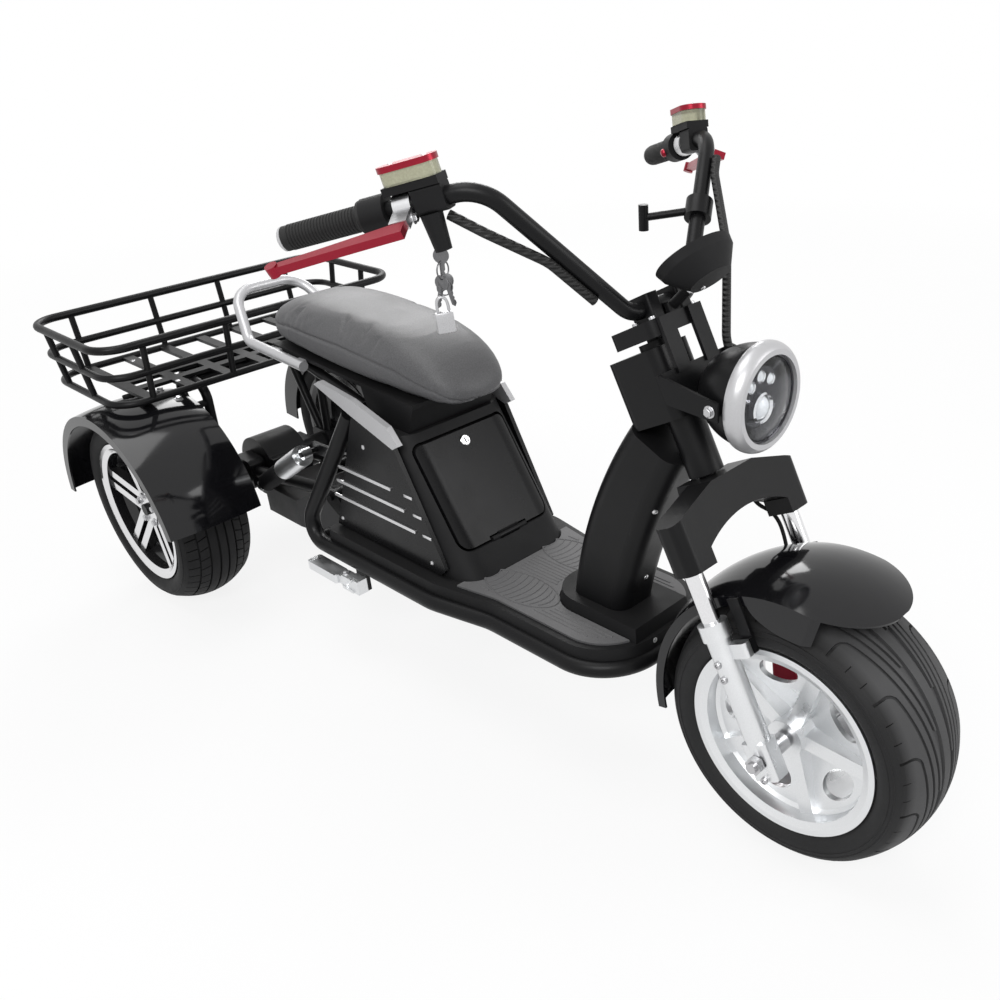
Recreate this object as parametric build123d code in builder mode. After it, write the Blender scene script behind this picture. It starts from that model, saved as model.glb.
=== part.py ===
from build123d import *
import os
from math import asin, cos, degrees, radians, sin

os.makedirs("parts", exist_ok=True)

# Three-wheeled electric scooter with a steered front wheel, a two-wheel rear axle and a cargo basket.
# Millimetres, +X forward, +Y to the rider's left, +Z up, origin on the ground below the middle.

# Layout
WHEELBASE = 1600
REAR_TRACK = 580
TYRE_R = 238
BASKET_REACH = 300
RAKE = 27
FORK_OFFSET = 22

# Gaps between neighbouring solids
FIT = 0.3
RUN = 0.05

# Wheels
RIM_R = 168
SEAT_R = 152
DROP_R = 136
FLANGE_T = 5
RIM_WALL = 6
FRONT_TYRE_W = 190
FRONT_RIM_W = 180
REAR_TYRE_W = 168
REAR_RIM_W = 160
FRONT_HUB_R = 32
FRONT_HUB_W = 150
REAR_HUB_R = 40
REAR_HUB_W = 110
FRONT_AXLE_R = 9
REAR_SHAFT_R = 14
DISC_R = 98
DISC_T = 4
CALIPER_PLATE_T = 7
RIB_COUNT = 5

# Fork and steering head
LEG_SPREAD = 256
STANCHION_R = 15
LEG_R = 20
LEG_TOP = 232
LUG_OUT = 32
LUG_LOW = 170
LUG_H = 24
YOKE_LOW = 315
YOKE_TOP = 405
YOKE_BRIDGE_TOP = 428
BOSS_R = 27
STEM_R = 14
HEAD_R = 29
HEAD_LOW = 432
HEAD_TOP = 652
CROWN_LOW = 656
CROWN_TOP = 682

# Front fender
FENDER_R = 272
FENDER_AHEAD = 12
FENDER_UP = 16
FENDER_T = 4
FENDER_W = 208
FENDER_SIDE_R = 236
FENDER_WALL = 16
FENDER_FRONT = 62
FENDER_TAIL = 192
FENDER_NOSE = 75
FENDER_BOW_START = -60
FENDER_BOW_L = 122
FENDER_BELLY_ANGLE = 88
FENDER_BELLY_L = 84
FENDER_BELLY_H = 40
STAY_T = 5
STAY_W = 22
STAY_TOP = 258

# Lamp
LAMP_X = -100
LAMP_Z = 762
LAMP_R = 82
LAMP_DEPTH = 112
LAMP_RING_W = 26
POD_FOOT_U = 56
POD_U = 128
POD_UP = 44
POD_HALF = 74
POD_DEPTH = 48

# Handlebar
BAR_R = 12.7
SADDLE_U = 34
BAR_W = CROWN_TOP + 18
GRIP_R = 17
GRIP_L = 126
COLLAR = 6
HOUSING_L = 36
HOUSING_R = 24
PERCH_IN = GRIP_L + 76
PERCH_L = 26
PLATE_H = 14
PLATE_REACH = 48
LEVER_DIP = 22
LEVER_L = 186
LEVER_T = 12
POT_IN = GRIP_L + 84
POT_L = 82
POT_W = 42
POT_LOW = 30
POT_H = 18
CAP_H = 8
KEY_R = 17
KEY_DROP = 50
HOLDER_ALONG = 0.52
HOLDER_RUN = (-62, -62, -8)
LOOM_R = 7
LOOM_SAG = 60
BRACKET_U = 61
BRACKET_T = 6
LOOM_U = BRACKET_U + BRACKET_T / 2 + LOOM_R + FIT
LOOM_RUN = ((88, 128, 743), (LOOM_U, 70, 612), (LOOM_U, 70, 566))

# Frame and deck
RAIL_R = 17
RAIL_Z = 240
RAIL_BACK_Y = 176
RAIL_FRONT_Y = 148
RAIL_BACK_X = 400
RAIL_WAIST_X = 850
RAIL_WAIST_L = 140
RAIL_TOP_X = 590
RAIL_TOP_Y = 128
RAIL_TOP_Z = 552
RAIL_FRONT_BEND = 110
RAIL_FRONT_GAP = 305
CROSS_R = 14
CROSS_XS = (RAIL_BACK_X + 50, 700, 1010)
DECK_T = 24
RAIL_CORNER = 45
DECK_BACK = 492
MAT_T = 4
MAT_INSET = 14
PLINTH_H = 26
PLINTH_L = 220
PLINTH_W = 150
PLINTH_INSET = 8
PLINTH_TAPER = 12
MAT_GAP = 1
NECK_HALF = 50
NECK_FOOT_L = 130
NECK_GAP = 365

# Body under the seat
BOX_HALF = 138
BOX_WALL = 5
BOX_BACK = 500
BOX_FRONT = 926
BOX_CORNER = 55
BOX_H = 264
BOX_LEAN_FRONT = 168
BOX_LEAN_BACK = 122
DOOR_HALF = 112
DOOR_LOW = 338
DOOR_HIGH = 524
DOOR_T = 12
DOOR_GAP = 5
HINGE_R = 5
HINGE_PIN_R = 2.5
HINGE_HALF = 26
PANEL_T = 9
STRIP_T = 3
STRIP_H = 7
BATTERY_X = 598
BATTERY_L = 180
BATTERY_HALF = 104
BATTERY_H = 180
SEAT_BASE_HALF = 104
SEAT_BASE_BACK = 628
SEAT_BASE_FRONT = 748
SEAT_PAN_T = 8
SEAT_PAN_BACK = 300
SEAT_BACK = 245
SEAT_FRONT = 880
SEAT_LOW_BACK = 640
SEAT_LOW_FRONT = 600
GRAB_R = 11
SEAT_STAY_Z = 611
SEAT_STAY_R = 11
SEAT_STAY_Y = 80

# Rear axle and carrier
BEAM_R = 28
BEAM_HALF = 165
HUB_PLATE_R = 52
HUB_PLATE_T = 14
ARM_R = 16
ARM_Y = 75
ARM_PIVOT_X = 392
ARM_PIVOT_Z = 290
ARM_END_X = 30
ARM_END_UP = 4
ARM_LUG_Y = 86
CARRIER_R = 11
CARRIER_Y = 150
CARRIER_FRONT = 25
CARRIER_BACK = -130
CARRIER_BEND = 40
CARRIER_TIES = (-30, -90)
CLAMP_HALF = 14
TAB_R = 8
SHOCK_Y = 120
SHOCK_LOW_X = 143
SHOCK_TOP = (372, 404)
SHOCK_BAR_X = 505
EYE_R = 12
SPRING_R = 24
RIDGES = 8
CASE_R = 76
CASE_HALF = 52
MOTOR_BACK = CASE_R + 6
MOTOR_FRONT = 222
MOTOR_HALF = 88
MOTOR_DROP = 116
MOTOR_H = 104

# Rear fenders
REAR_FENDER_R = 280
REAR_FENDER_DROP = 23
REAR_FENDER_INNER = 196
REAR_FENDER_OUTER = 412
REAR_FENDER_FRONT = 12
REAR_FENDER_BACK = 176
FLANGE_LOW_R = 215
LIP_H = 22

# Basket
BASKET_FRONT = 84
BASKET_HALF = 388
BASKET_LEAN = 16
BASKET_LOW = 509
BASKET_HIGH = 640
BASKET_RAIL_R = 9
BASKET_WIRE_R = 8
BASKET_CORNER = 60
BASKET_TAIL = 6
POST_R = 7
BASKET_POSTS_Y = (-285, -90, 90, 285)
BASKET_POSTS_X = (-196, -62)
SLAT_COUNT = 7
SLAT_PITCH = 96
SLAT_W = 25
SLAT_T = 8

# Folding pegs
PEG_X = 625
PEG_L = 105
PEG_W = 34
PEG_T = 20
PEG_Y = 203
PEG_Z = 204
PEG_BACK = 34
PEG_START = 18
PEG_PIN_R = 5
PEG_BLOCK_Y = 212
EAR_R = 12
EAR_T = 6

REAR_X = (BASKET_REACH - WHEELBASE - TYRE_R) / 2
FRONT_X = REAR_X + WHEELBASE
AXLE_Z = TYRE_R
DECK_LOW = RAIL_Z + RAIL_R
DECK_TOP = DECK_LOW + DECK_T
LEG_Y = LEG_SPREAD / 2
SIDES = (("right", -1), ("left", 1))
RAKE_COS = cos(radians(RAKE))
RAKE_SIN = sin(radians(RAKE))


def behind(x, y, z):
    """A point measured forward from the rear axle."""
    return Vector(REAR_X + x, y, z)


def steer(u, v, w):
    """A point in the fork's own frame: forward of, left of and up along the steering axis."""
    base_x = FRONT_X - FORK_OFFSET * RAKE_COS
    base_z = AXLE_Z - FORK_OFFSET * RAKE_SIN
    return Vector(base_x + u * RAKE_COS - w * RAKE_SIN, v, base_z + u * RAKE_SIN + w * RAKE_COS)


def steer_plane(u=0, v=0, w=0):
    return Plane(origin=steer(u, v, w), x_dir=(RAKE_COS, 0, RAKE_SIN), z_dir=(-RAKE_SIN, 0, RAKE_COS))


def spoke_plane(centre, angle):
    """Plane through a wheel's centre: local x outward at the angle, local y along the axle."""
    turn = radians(angle)
    return Plane(origin=centre, x_dir=(cos(turn), 0, sin(turn)), z_dir=(-sin(turn), 0, cos(turn)))


def save(made, name):
    made.label = name
    export_step(made, f"parts/{name}.step")


def flip(made):
    return mirror(made, about=Plane.XZ)


def flip_y(step):
    return Vector(step.X, -step.Y, step.Z)


def pair(made):
    """A right-hand piece together with its mirror image on the left."""
    other = flip(made)
    with BuildPart() as both:
        add(made)
        add(other)
    return both.part


def rod(start, end, radius):
    """A straight round bar."""
    run = Vector(end) - Vector(start)
    with BuildPart(Plane(origin=start, z_dir=run)) as made:
        Cylinder(radius, run.length, align=(Align.CENTER, Align.CENTER, Align.MIN))
    return made.part


def tube(points, bends, radius, close=False):
    """A bent round bar: straight runs joined by tangent arcs."""
    with BuildPart() as made:
        with BuildLine() as path:
            FilletPolyline(*points, radius=bends, close=close)
        with BuildSketch(Plane(origin=path.line @ 0, z_dir=path.line % 0)):
            Circle(radius)
        sweep(path=path.line)
    return made.part


def tyre(centre, width, rim_width):
    """A low, wide tyre seated between the rim's flanges."""
    half = width / 2
    seat = rim_width / 2 - FLANGE_T - FIT
    shoulder = 18
    with BuildPart() as made:
        with BuildSketch(spoke_plane(centre, 0)):
            with BuildLine():
                Polyline((RIM_R + FIT, -seat), (SEAT_R + FIT, -seat), (SEAT_R + FIT, seat), (RIM_R + FIT, seat))
                bulge = (RIM_R + TYRE_R) / 2
                ThreePointArc((RIM_R + FIT, seat), (bulge, half), (TYRE_R - shoulder, half - shoulder))
                ThreePointArc((TYRE_R - shoulder, half - shoulder), (TYRE_R, 0), (TYRE_R - shoulder, shoulder - half))
                ThreePointArc((TYRE_R - shoulder, shoulder - half), (bulge, -half), (RIM_R + FIT, -seat))
            make_face()
        revolve(axis=Axis(centre, (0, 1, 0)))
    return made.part


def barrel_points(rim_width):
    """Rim barrel section, radius against axial place: flange, bead seat and well."""
    edge = rim_width / 2
    half = [(RIM_R, edge), (RIM_R, edge - FLANGE_T), (SEAT_R, edge - FLANGE_T), (SEAT_R, edge - 26),
            (DROP_R, edge - 42)]
    inner = [(RIM_R - 10, edge), (SEAT_R - RIM_WALL, edge - 6), (SEAT_R - RIM_WALL, edge - 29),
             (DROP_R - RIM_WALL, edge - 45)]
    outer_run = half + [(r, -y) for r, y in reversed(half)]
    inner_run = inner + [(r, -y) for r, y in reversed(inner)]
    return outer_run + list(reversed(inner_run))


def front_rim(centre):
    """Cast dish with oval windows and thick ribs."""
    web_y = -52
    hub_y = -26
    with BuildPart() as made:
        with BuildSketch(spoke_plane(centre, 0)):
            with BuildLine():
                Polyline((FRONT_HUB_R - 4, hub_y - 5), (SEAT_R - RIM_WALL + 2, web_y - 5),
                         (SEAT_R - RIM_WALL + 2, web_y + 5), (FRONT_HUB_R - 4, hub_y + 5), close=True)
            make_face()
        revolve(axis=Axis(centre, (0, 1, 0)))
        for k in range(RIB_COUNT):
            window = spoke_plane(centre, 360 / RIB_COUNT * (k + 0.5))
            with BuildSketch(Plane(origin=centre, x_dir=window.x_dir, z_dir=(0, -1, 0))):
                with Locations((108, 0)):
                    Ellipse(24, 36)
            extrude(amount=FRONT_RIM_W, both=True, mode=Mode.SUBTRACT)
        with BuildSketch(spoke_plane(centre, 0)):
            Polygon(*barrel_points(FRONT_RIM_W), align=None)
        revolve(axis=Axis(centre, (0, 1, 0)))
        with BuildSketch(Plane(origin=centre, x_dir=(1, 0, 0), z_dir=(0, -1, 0))):
            Circle(FRONT_HUB_R)
        extrude(amount=FRONT_HUB_W / 2, both=True)
        for k in range(RIB_COUNT):
            with BuildSketch(spoke_plane(centre, 360 / RIB_COUNT * k)):
                Polygon((FRONT_HUB_R - 6, -62), (SEAT_R - RIM_WALL + 1, web_y - 14),
                        (SEAT_R - RIM_WALL + 1, web_y), (FRONT_HUB_R - 6, hub_y), align=None)
            extrude(amount=13, both=True)
        with BuildSketch(Plane(origin=centre, x_dir=(1, 0, 0), z_dir=(0, -1, 0))):
            Circle(FRONT_AXLE_R + RUN)
        extrude(amount=FRONT_RIM_W, both=True, mode=Mode.SUBTRACT)
    return made.part


def rear_rim(centre):
    """Right-hand wheel: five pairs of flat spokes near the outer face."""
    face = 12 - REAR_RIM_W / 2
    root = -22
    with BuildPart() as made:
        with BuildSketch(spoke_plane(centre, 0)):
            Polygon(*barrel_points(REAR_RIM_W), align=None)
        revolve(axis=Axis(centre, (0, 1, 0)))
        with BuildSketch(Plane(origin=centre, x_dir=(1, 0, 0), z_dir=(0, -1, 0))):
            Circle(REAR_HUB_R)
        extrude(amount=REAR_HUB_W / 2, both=True)
        for k in range(RIB_COUNT):
            plane = spoke_plane(centre, 90 + 360 / RIB_COUNT * k)
            for offset in (-17, 17):
                with BuildSketch(plane.offset(offset)):
                    Polygon((REAR_HUB_R - 16, root), (REAR_HUB_R - 16, root - 30),
                            (SEAT_R - RIM_WALL + 1, face), (SEAT_R - RIM_WALL + 1, face + 20), align=None)
                extrude(amount=10, both=True)
        with BuildSketch(Plane(origin=centre, x_dir=(1, 0, 0), z_dir=(0, -1, 0))):
            Circle(REAR_SHAFT_R + RUN)
        extrude(amount=REAR_RIM_W, both=True, mode=Mode.SUBTRACT)
    return made.part


# Wheels
front_centre = Vector(FRONT_X, 0, AXLE_Z)
save(tyre(front_centre, FRONT_TYRE_W, FRONT_RIM_W), "front_tyre")
save(front_rim(front_centre), "front_rim")
disc_y = FRONT_HUB_W / 2
with BuildPart() as front_disc:
    with BuildSketch(Plane(origin=(FRONT_X, disc_y, AXLE_Z), x_dir=(1, 0, 0), z_dir=(0, 1, 0))):
        Circle(DISC_R)
        Circle(FRONT_AXLE_R + 12, mode=Mode.SUBTRACT)
        with PolarLocations(DISC_R - 28, 9):
            Circle(9, mode=Mode.SUBTRACT)
    extrude(amount=DISC_T)
save(front_disc.part, "front_brake_disc")
for name, side in SIDES:
    wheel = behind(0, side * REAR_TRACK / 2, AXLE_Z)
    save(tyre(wheel, REAR_TYRE_W, REAR_RIM_W), f"rear_tyre_{name}")

right_rim = rear_rim(behind(0, -REAR_TRACK / 2, AXLE_Z))
save(right_rim, "rear_rim_right")
save(flip(right_rim), "rear_rim_left")

# Front axle through both fork legs, with a spacer each side of the hub
with BuildPart() as front_axle:
    with BuildSketch(Plane(origin=(FRONT_X, 0, AXLE_Z), x_dir=(1, 0, 0), z_dir=(0, -1, 0))):
        Circle(FRONT_AXLE_R)
    extrude(amount=LEG_Y + LEG_R + 18, both=True)
    for side in (-1, 1):
        inner = side * (disc_y + DISC_T + 1)
        with BuildSketch(Plane(origin=(FRONT_X, inner, AXLE_Z), x_dir=(1, 0, 0), z_dir=(0, side, 0))):
            Circle(15)
        extrude(amount=LEG_Y - LEG_R + 2 - abs(inner))
        nut = side * (LEG_Y + LEG_R + FIT)
        with BuildSketch(Plane(origin=(FRONT_X, nut, AXLE_Z), x_dir=(1, 0, 0), z_dir=(0, side, 0))):
            RegularPolygon(15, 6)
        extrude(amount=12)
save(front_axle.part, "front_axle")

# Fork: yoke with its stem, stanchions and lower legs
with BuildPart() as yoke:
    with BuildSketch(Plane(origin=steer(0, 0, 0), x_dir=(0, 1, 0), z_dir=(RAKE_COS, 0, RAKE_SIN))):
        with BuildLine():
            inner = LEG_Y - BOSS_R
            outer = LEG_Y + BOSS_R
            Polyline((-inner, YOKE_LOW + 26), (-inner, YOKE_LOW), (-outer, YOKE_LOW), (-outer, YOKE_TOP - 10))
            Polyline((-outer, YOKE_TOP - 10), (-LEG_Y, YOKE_TOP), (-52, YOKE_BRIDGE_TOP), (52, YOKE_BRIDGE_TOP),
                     (LEG_Y, YOKE_TOP), (outer, YOKE_TOP - 10))
            Polyline((outer, YOKE_TOP - 10), (outer, YOKE_LOW), (inner, YOKE_LOW), (inner, YOKE_LOW + 26))
            ThreePointArc((inner, YOKE_LOW + 26), (0, YOKE_LOW + 52), (-inner, YOKE_LOW + 26))
        make_face()
    extrude(amount=FORK_OFFSET + 30)
    boss_edges = yoke.edges().filter_by(Axis(steer(0, 0, 0), (-RAKE_SIN, 0, RAKE_COS)))
    fillet(boss_edges.group_by(Axis.Y)[0] + boss_edges.group_by(Axis.Y)[-1], BOSS_R - 9)
    with BuildSketch(Plane(origin=steer(0, 0, 0), x_dir=(0, 1, 0), z_dir=(RAKE_COS, 0, RAKE_SIN))):
        with BuildLine():
            Polyline((-54, YOKE_LOW + 50), (54, YOKE_LOW + 50), (44, YOKE_BRIDGE_TOP), (-44, YOKE_BRIDGE_TOP), close=True)
        make_face()
    extrude(amount=-30)
    for side in (-1, 1):
        with BuildSketch(steer_plane(FORK_OFFSET, side * LEG_Y, YOKE_LOW - 1)):
            Circle(STANCHION_R + RUN)
        extrude(amount=YOKE_TOP - YOKE_LOW - 12, mode=Mode.SUBTRACT)
    with BuildSketch(steer_plane(0, 0, YOKE_BRIDGE_TOP - 4)):
        Circle(STEM_R)
    extrude(amount=CROWN_TOP + 10 - YOKE_BRIDGE_TOP + 4)
save(yoke.part, "fork_yoke")

stanchion = rod(steer(FORK_OFFSET, -LEG_Y, 62), steer(FORK_OFFSET, -LEG_Y, YOKE_TOP - 14), STANCHION_R)
save(pair(stanchion), "fork_stanchions")
with BuildPart() as leg:
    with BuildSketch(steer_plane(FORK_OFFSET, -LEG_Y, -34)):
        Circle(LEG_R)
    extrude(amount=LEG_TOP + 34)
    with BuildSketch(steer_plane(FORK_OFFSET, -LEG_Y, LEG_TOP - 26)):
        Circle(LEG_R + 4)
    extrude(amount=26)
    with BuildSketch(steer_plane(FORK_OFFSET, -LEG_Y, -34)):
        RectangleRounded(LEG_R * 2 + 8, LEG_R * 2 - 4, 8)
    extrude(amount=64)
    with BuildSketch(steer_plane(FORK_OFFSET + LUG_OUT, 4 - LEG_Y, LUG_LOW)):
        RectangleRounded(36, 18, 6)
    extrude(amount=LUG_H)
    with BuildSketch(steer_plane(FORK_OFFSET, -LEG_Y, 60)):
        Circle(STANCHION_R + RUN)
    extrude(amount=LEG_TOP, mode=Mode.SUBTRACT)
    with BuildSketch(Plane(origin=(FRONT_X, 0, AXLE_Z), x_dir=(1, 0, 0), z_dir=(0, -1, 0))):
        Circle(FRONT_AXLE_R + RUN)
    extrude(amount=LEG_SPREAD, mode=Mode.SUBTRACT)
    with BuildSketch(Plane(origin=(FRONT_X, 0, AXLE_Z), x_dir=(1, 0, 0), z_dir=(0, -1, 0))):
        Circle(15 + FIT)
    extrude(amount=LEG_Y - LEG_R + 2 + FIT, mode=Mode.SUBTRACT)
save(pair(leg.part), "fork_legs")

# Front fender: a domed crown with side walls, bowed at the nose and narrow at the tail
fender_centre = front_centre + Vector(FENDER_AHEAD, 0, FENDER_UP)
fender_half = FENDER_W / 2
with BuildPart() as fender:
    with BuildSketch(spoke_plane(fender_centre, FENDER_FRONT)):
        with BuildLine():
            low = FENDER_SIDE_R
            wall = low + FENDER_WALL
            for half, top in ((fender_half, FENDER_R), (fender_half - FENDER_T, FENDER_R - FENDER_T)):
                Polyline((low, -half), (wall, -half))
                ThreePointArc((wall, -half), (top, 0), (wall, half))
                Polyline((wall, half), (low, half))
            for side in (-1, 1):
                Line((low, side * fender_half), (low, side * (fender_half - FENDER_T)))
        make_face()
    revolve(axis=Axis(fender_centre, (0, -1, 0)), revolution_arc=FENDER_TAIL - FENDER_FRONT)
    belly = radians(FENDER_BELLY_ANGLE)
    belly_place = (FENDER_SIDE_R * cos(belly), FENDER_SIDE_R * sin(belly))
    for side in (-1, 1):
        belly_plane = Plane(origin=fender_centre + Vector(0, side * fender_half, 0), x_dir=(1, 0, 0), z_dir=(0, -1, 0))
        with BuildSketch(belly_plane):
            with Locations(belly_place):
                Ellipse(FENDER_BELLY_L, FENDER_BELLY_H)
            Circle(FENDER_SIDE_R + FENDER_WALL / 2, mode=Mode.INTERSECT)
        extrude(amount=side * FENDER_T)
    nose = radians(FENDER_NOSE)
    nose_plane = Plane(origin=fender_centre, x_dir=(sin(nose), 0, -cos(nose)), z_dir=(cos(nose), 0, sin(nose)))
    with BuildSketch(nose_plane):
        with Locations((FENDER_BOW_START, 0)):
            Ellipse(FENDER_BOW_L, fender_half + FENDER_T)
            Rectangle(2 * FENDER_R, FENDER_W + 2 * FENDER_T, align=(Align.MAX, Align.CENTER))
    extrude(amount=2 * FENDER_R, both=True, mode=Mode.INTERSECT)
save(fender.part, "front_fender")

# Stays from the leg lugs up to the fender's side walls
stay_face = Plane(origin=steer(FORK_OFFSET, -fender_half - FIT, 0), x_dir=(RAKE_COS, 0, RAKE_SIN), z_dir=(0, -1, 0))
with BuildPart() as stay:
    with BuildSketch(stay_face):
        with Locations((LUG_OUT + 6, (LUG_LOW + STAY_TOP) / 2)):
            Rectangle(STAY_W, STAY_TOP - LUG_LOW)
    extrude(amount=STAY_T)
    with BuildSketch(stay_face):
        with Locations((LUG_OUT + 6, LUG_LOW + LUG_H / 2)):
            Rectangle(STAY_W, LUG_H)
    extrude(amount=LEG_Y - 13 - fender_half - FIT)
save(pair(stay.part), "fender_stays")

# Brake caliper on the left leg, astride the disc
caliper_plane = spoke_plane((FRONT_X, disc_y + DISC_T / 2, AXLE_Z), 186)
with BuildPart() as caliper:
    with BuildSketch(caliper_plane):
        with Locations((DISC_R - 8, 6)):
            RectangleRounded(56, 44, 8)
    extrude(amount=32, both=True)
    with BuildSketch(caliper_plane):
        with Locations((DISC_R - 26, 0)):
            Rectangle(80, DISC_T + 10)
    extrude(amount=40, both=True, mode=Mode.SUBTRACT)
    with BuildSketch(Plane(origin=(FRONT_X, LEG_Y - LEG_R - FIT, AXLE_Z), x_dir=(1, 0, 0), z_dir=(0, -1, 0))):
        Polygon((28, -22), (28, 22), (-66, 30), (-112, 24), (-112, -30), (-66, -36), align=None)
        Circle(16, mode=Mode.SUBTRACT)
    extrude(amount=CALIPER_PLATE_T)
save(caliper.part, "front_caliper")

# Upper clamp with the bar's saddle
with BuildPart() as crown:
    with BuildSketch(steer_plane(12, 0, CROWN_LOW)):
        RectangleRounded(100, 120, 18)
    extrude(amount=CROWN_TOP - CROWN_LOW)
    for side in (-1, 1):
        with BuildSketch(steer_plane(SADDLE_U, side * 32, CROWN_TOP)):
            RectangleRounded(46, 26, 5)
        extrude(amount=38)
    with BuildSketch(Plane(origin=steer(SADDLE_U, 0, BAR_W), x_dir=(1, 0, 0), z_dir=(0, 1, 0))):
        Circle(BAR_R + RUN)
    extrude(amount=60, both=True, mode=Mode.SUBTRACT)
    with BuildSketch(steer_plane(0, 0, CROWN_LOW - 1)):
        Circle(STEM_R + RUN)
    extrude(amount=CROWN_TOP, mode=Mode.SUBTRACT)
save(crown.part, "upper_clamp")

# Handlebar: columns forward, left and up along the steering axis, then the bend there
BAR_RUN = ((SADDLE_U, 66, BAR_W, 40), (SADDLE_U + 3, 245, BAR_W + 222, 62), (-215, 395, BAR_W + 272, 0))
bar_left = [steer(u, v, w) for u, v, w, bend in BAR_RUN]
bar_right = [steer(u, -v, w) for u, v, w, bend in BAR_RUN]
bar_bends = [bend for u, v, w, bend in BAR_RUN[:-1]]
save(tube(bar_right[::-1] + bar_left, bar_bends[::-1] + bar_bends, BAR_R), "handlebar")

bar_tip = bar_right[-1]
grip_axis = (bar_tip - bar_right[-2]).normalized()
grip_up = (Vector(0, 0, 1) - grip_axis * grip_axis.Z).normalized()
grip_ahead = grip_up.cross(grip_axis)
dip = radians(LEVER_DIP)
lever_up = grip_up * cos(dip) + grip_ahead * sin(dip)


def on_bar(back, up=grip_up):
    """Plane across the right-hand end of the bar, a distance in from its tip; local x up, local y towards the rider."""
    return Plane(origin=bar_tip - grip_axis * back, x_dir=up, z_dir=grip_axis)


with BuildPart() as grip:
    with BuildSketch(on_bar(GRIP_L)):
        Circle(GRIP_R)
    extrude(amount=GRIP_L + 4)
    with BuildSketch(on_bar(GRIP_L)):
        Circle(GRIP_R + 4)
    extrude(amount=COLLAR)
    with BuildSketch(on_bar(GRIP_L + 1)):
        Circle(BAR_R + RUN)
    extrude(amount=GRIP_L + 1 + RUN, mode=Mode.SUBTRACT)
save(pair(grip.part), "grips")

# Lever perch: a clamp round the bar with a plate that dips ahead to the lever
with BuildPart() as perch:
    with BuildSketch(on_bar(PERCH_IN)):
        Circle(BAR_R + COLLAR)
    extrude(amount=PERCH_L)
    with BuildSketch(on_bar(PERCH_IN, lever_up)):
        with Locations((0, -PLATE_REACH / 2)):
            Rectangle(PLATE_H, PLATE_REACH)
    extrude(amount=PERCH_L)
    with BuildSketch(on_bar(PERCH_IN)):
        Circle(BAR_R + RUN)
    extrude(amount=2 * PERCH_L, both=True, mode=Mode.SUBTRACT)
save(pair(perch.part), "perches")

# Housings on the bar: one beside the grip, one under the pot; the key switch hangs on the right
pot_half = POT_L / 2
foot_in = PERCH_IN + 4
foot_l = POT_IN + pot_half - foot_in
with BuildPart() as housing:
    with BuildSketch(on_bar(GRIP_L + 1 + HOUSING_L)):
        Circle(HOUSING_R)
    extrude(amount=HOUSING_L)
    with BuildSketch(on_bar(GRIP_L + 1 + HOUSING_L)):
        Circle(BAR_R + RUN)
    extrude(amount=2 * HOUSING_L, both=True, mode=Mode.SUBTRACT)
with BuildPart() as master:
    with BuildSketch(on_bar(POT_IN + pot_half)):
        with Locations(((POT_LOW + BAR_R + COLLAR + FIT) / 2, 0)):
            Rectangle(POT_LOW - BAR_R - COLLAR - FIT, POT_W - 4)
    extrude(amount=POT_L)
    with BuildSketch(on_bar(foot_in + foot_l)):
        with Locations((2, 0)):
            RectangleRounded(2 * (BAR_R + COLLAR), POT_W - 8, 6)
    extrude(amount=foot_l)
    with BuildSketch(on_bar(foot_in + foot_l)):
        Circle(BAR_R + RUN)
    extrude(amount=2 * foot_l, both=True, mode=Mode.SUBTRACT)
key_place = bar_tip - grip_axis * (foot_in + KEY_R) + grip_ahead * 8 - grip_up * (BAR_R + 3)
with BuildPart() as key_switch:
    with BuildSketch(Plane(origin=key_place, x_dir=grip_axis, z_dir=-grip_up)):
        Circle(KEY_R - 1)
    with BuildSketch(Plane(origin=key_place - grip_up * KEY_DROP, x_dir=grip_axis, z_dir=-grip_up)):
        Circle(KEY_R - 5)
    loft(ruled=True)
with BuildPart() as control_pods:
    add(pair(housing.part))
    add(pair(master.part))
    add(key_switch.part)
save(control_pods.part, "control_pods")

pot_plane = Plane(origin=bar_tip - grip_axis * POT_IN, x_dir=grip_axis, z_dir=grip_up)
with BuildPart() as pot:
    with BuildSketch(pot_plane.offset(POT_LOW)):
        RectangleRounded(POT_L, POT_W, POT_W / 2 - 2)
    extrude(amount=POT_H)
save(pair(pot.part), "reservoirs")
with BuildPart() as cap:
    with BuildSketch(pot_plane.offset(POT_LOW + POT_H)):
        RectangleRounded(POT_L + 4, POT_W + 4, POT_W / 2)
    extrude(amount=CAP_H)
save(pair(cap.part), "reservoir_caps")

# Lever: a blade that runs out ahead of the grip to a ball at its tip
lever_plane = Plane(origin=bar_tip - grip_axis * (PERCH_IN - PERCH_L / 2), x_dir=grip_axis, z_dir=lever_up)
lever_start = PLATE_REACH + FIT
with BuildPart() as lever:
    with BuildSketch(lever_plane):
        with BuildLine():
            Line((-10, lever_start + 22), (-10, lever_start))
            Line((-10, lever_start), (12, lever_start))
            ThreePointArc((12, lever_start), (LEVER_L * 0.45, lever_start + 9), (LEVER_L, lever_start + 20))
            Line((LEVER_L, lever_start + 20), (LEVER_L, lever_start + 32))
            ThreePointArc((LEVER_L, lever_start + 32), (LEVER_L * 0.45, lever_start + 26), (-10, lever_start + 22))
        make_face()
    extrude(amount=LEVER_T / 2, both=True)
    with BuildSketch(lever_plane):
        with Locations((LEVER_L, lever_start + 26)):
            Circle(9)
    extrude(amount=LEVER_T / 2 + 2, both=True)
save(pair(lever.part), "levers")

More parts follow.
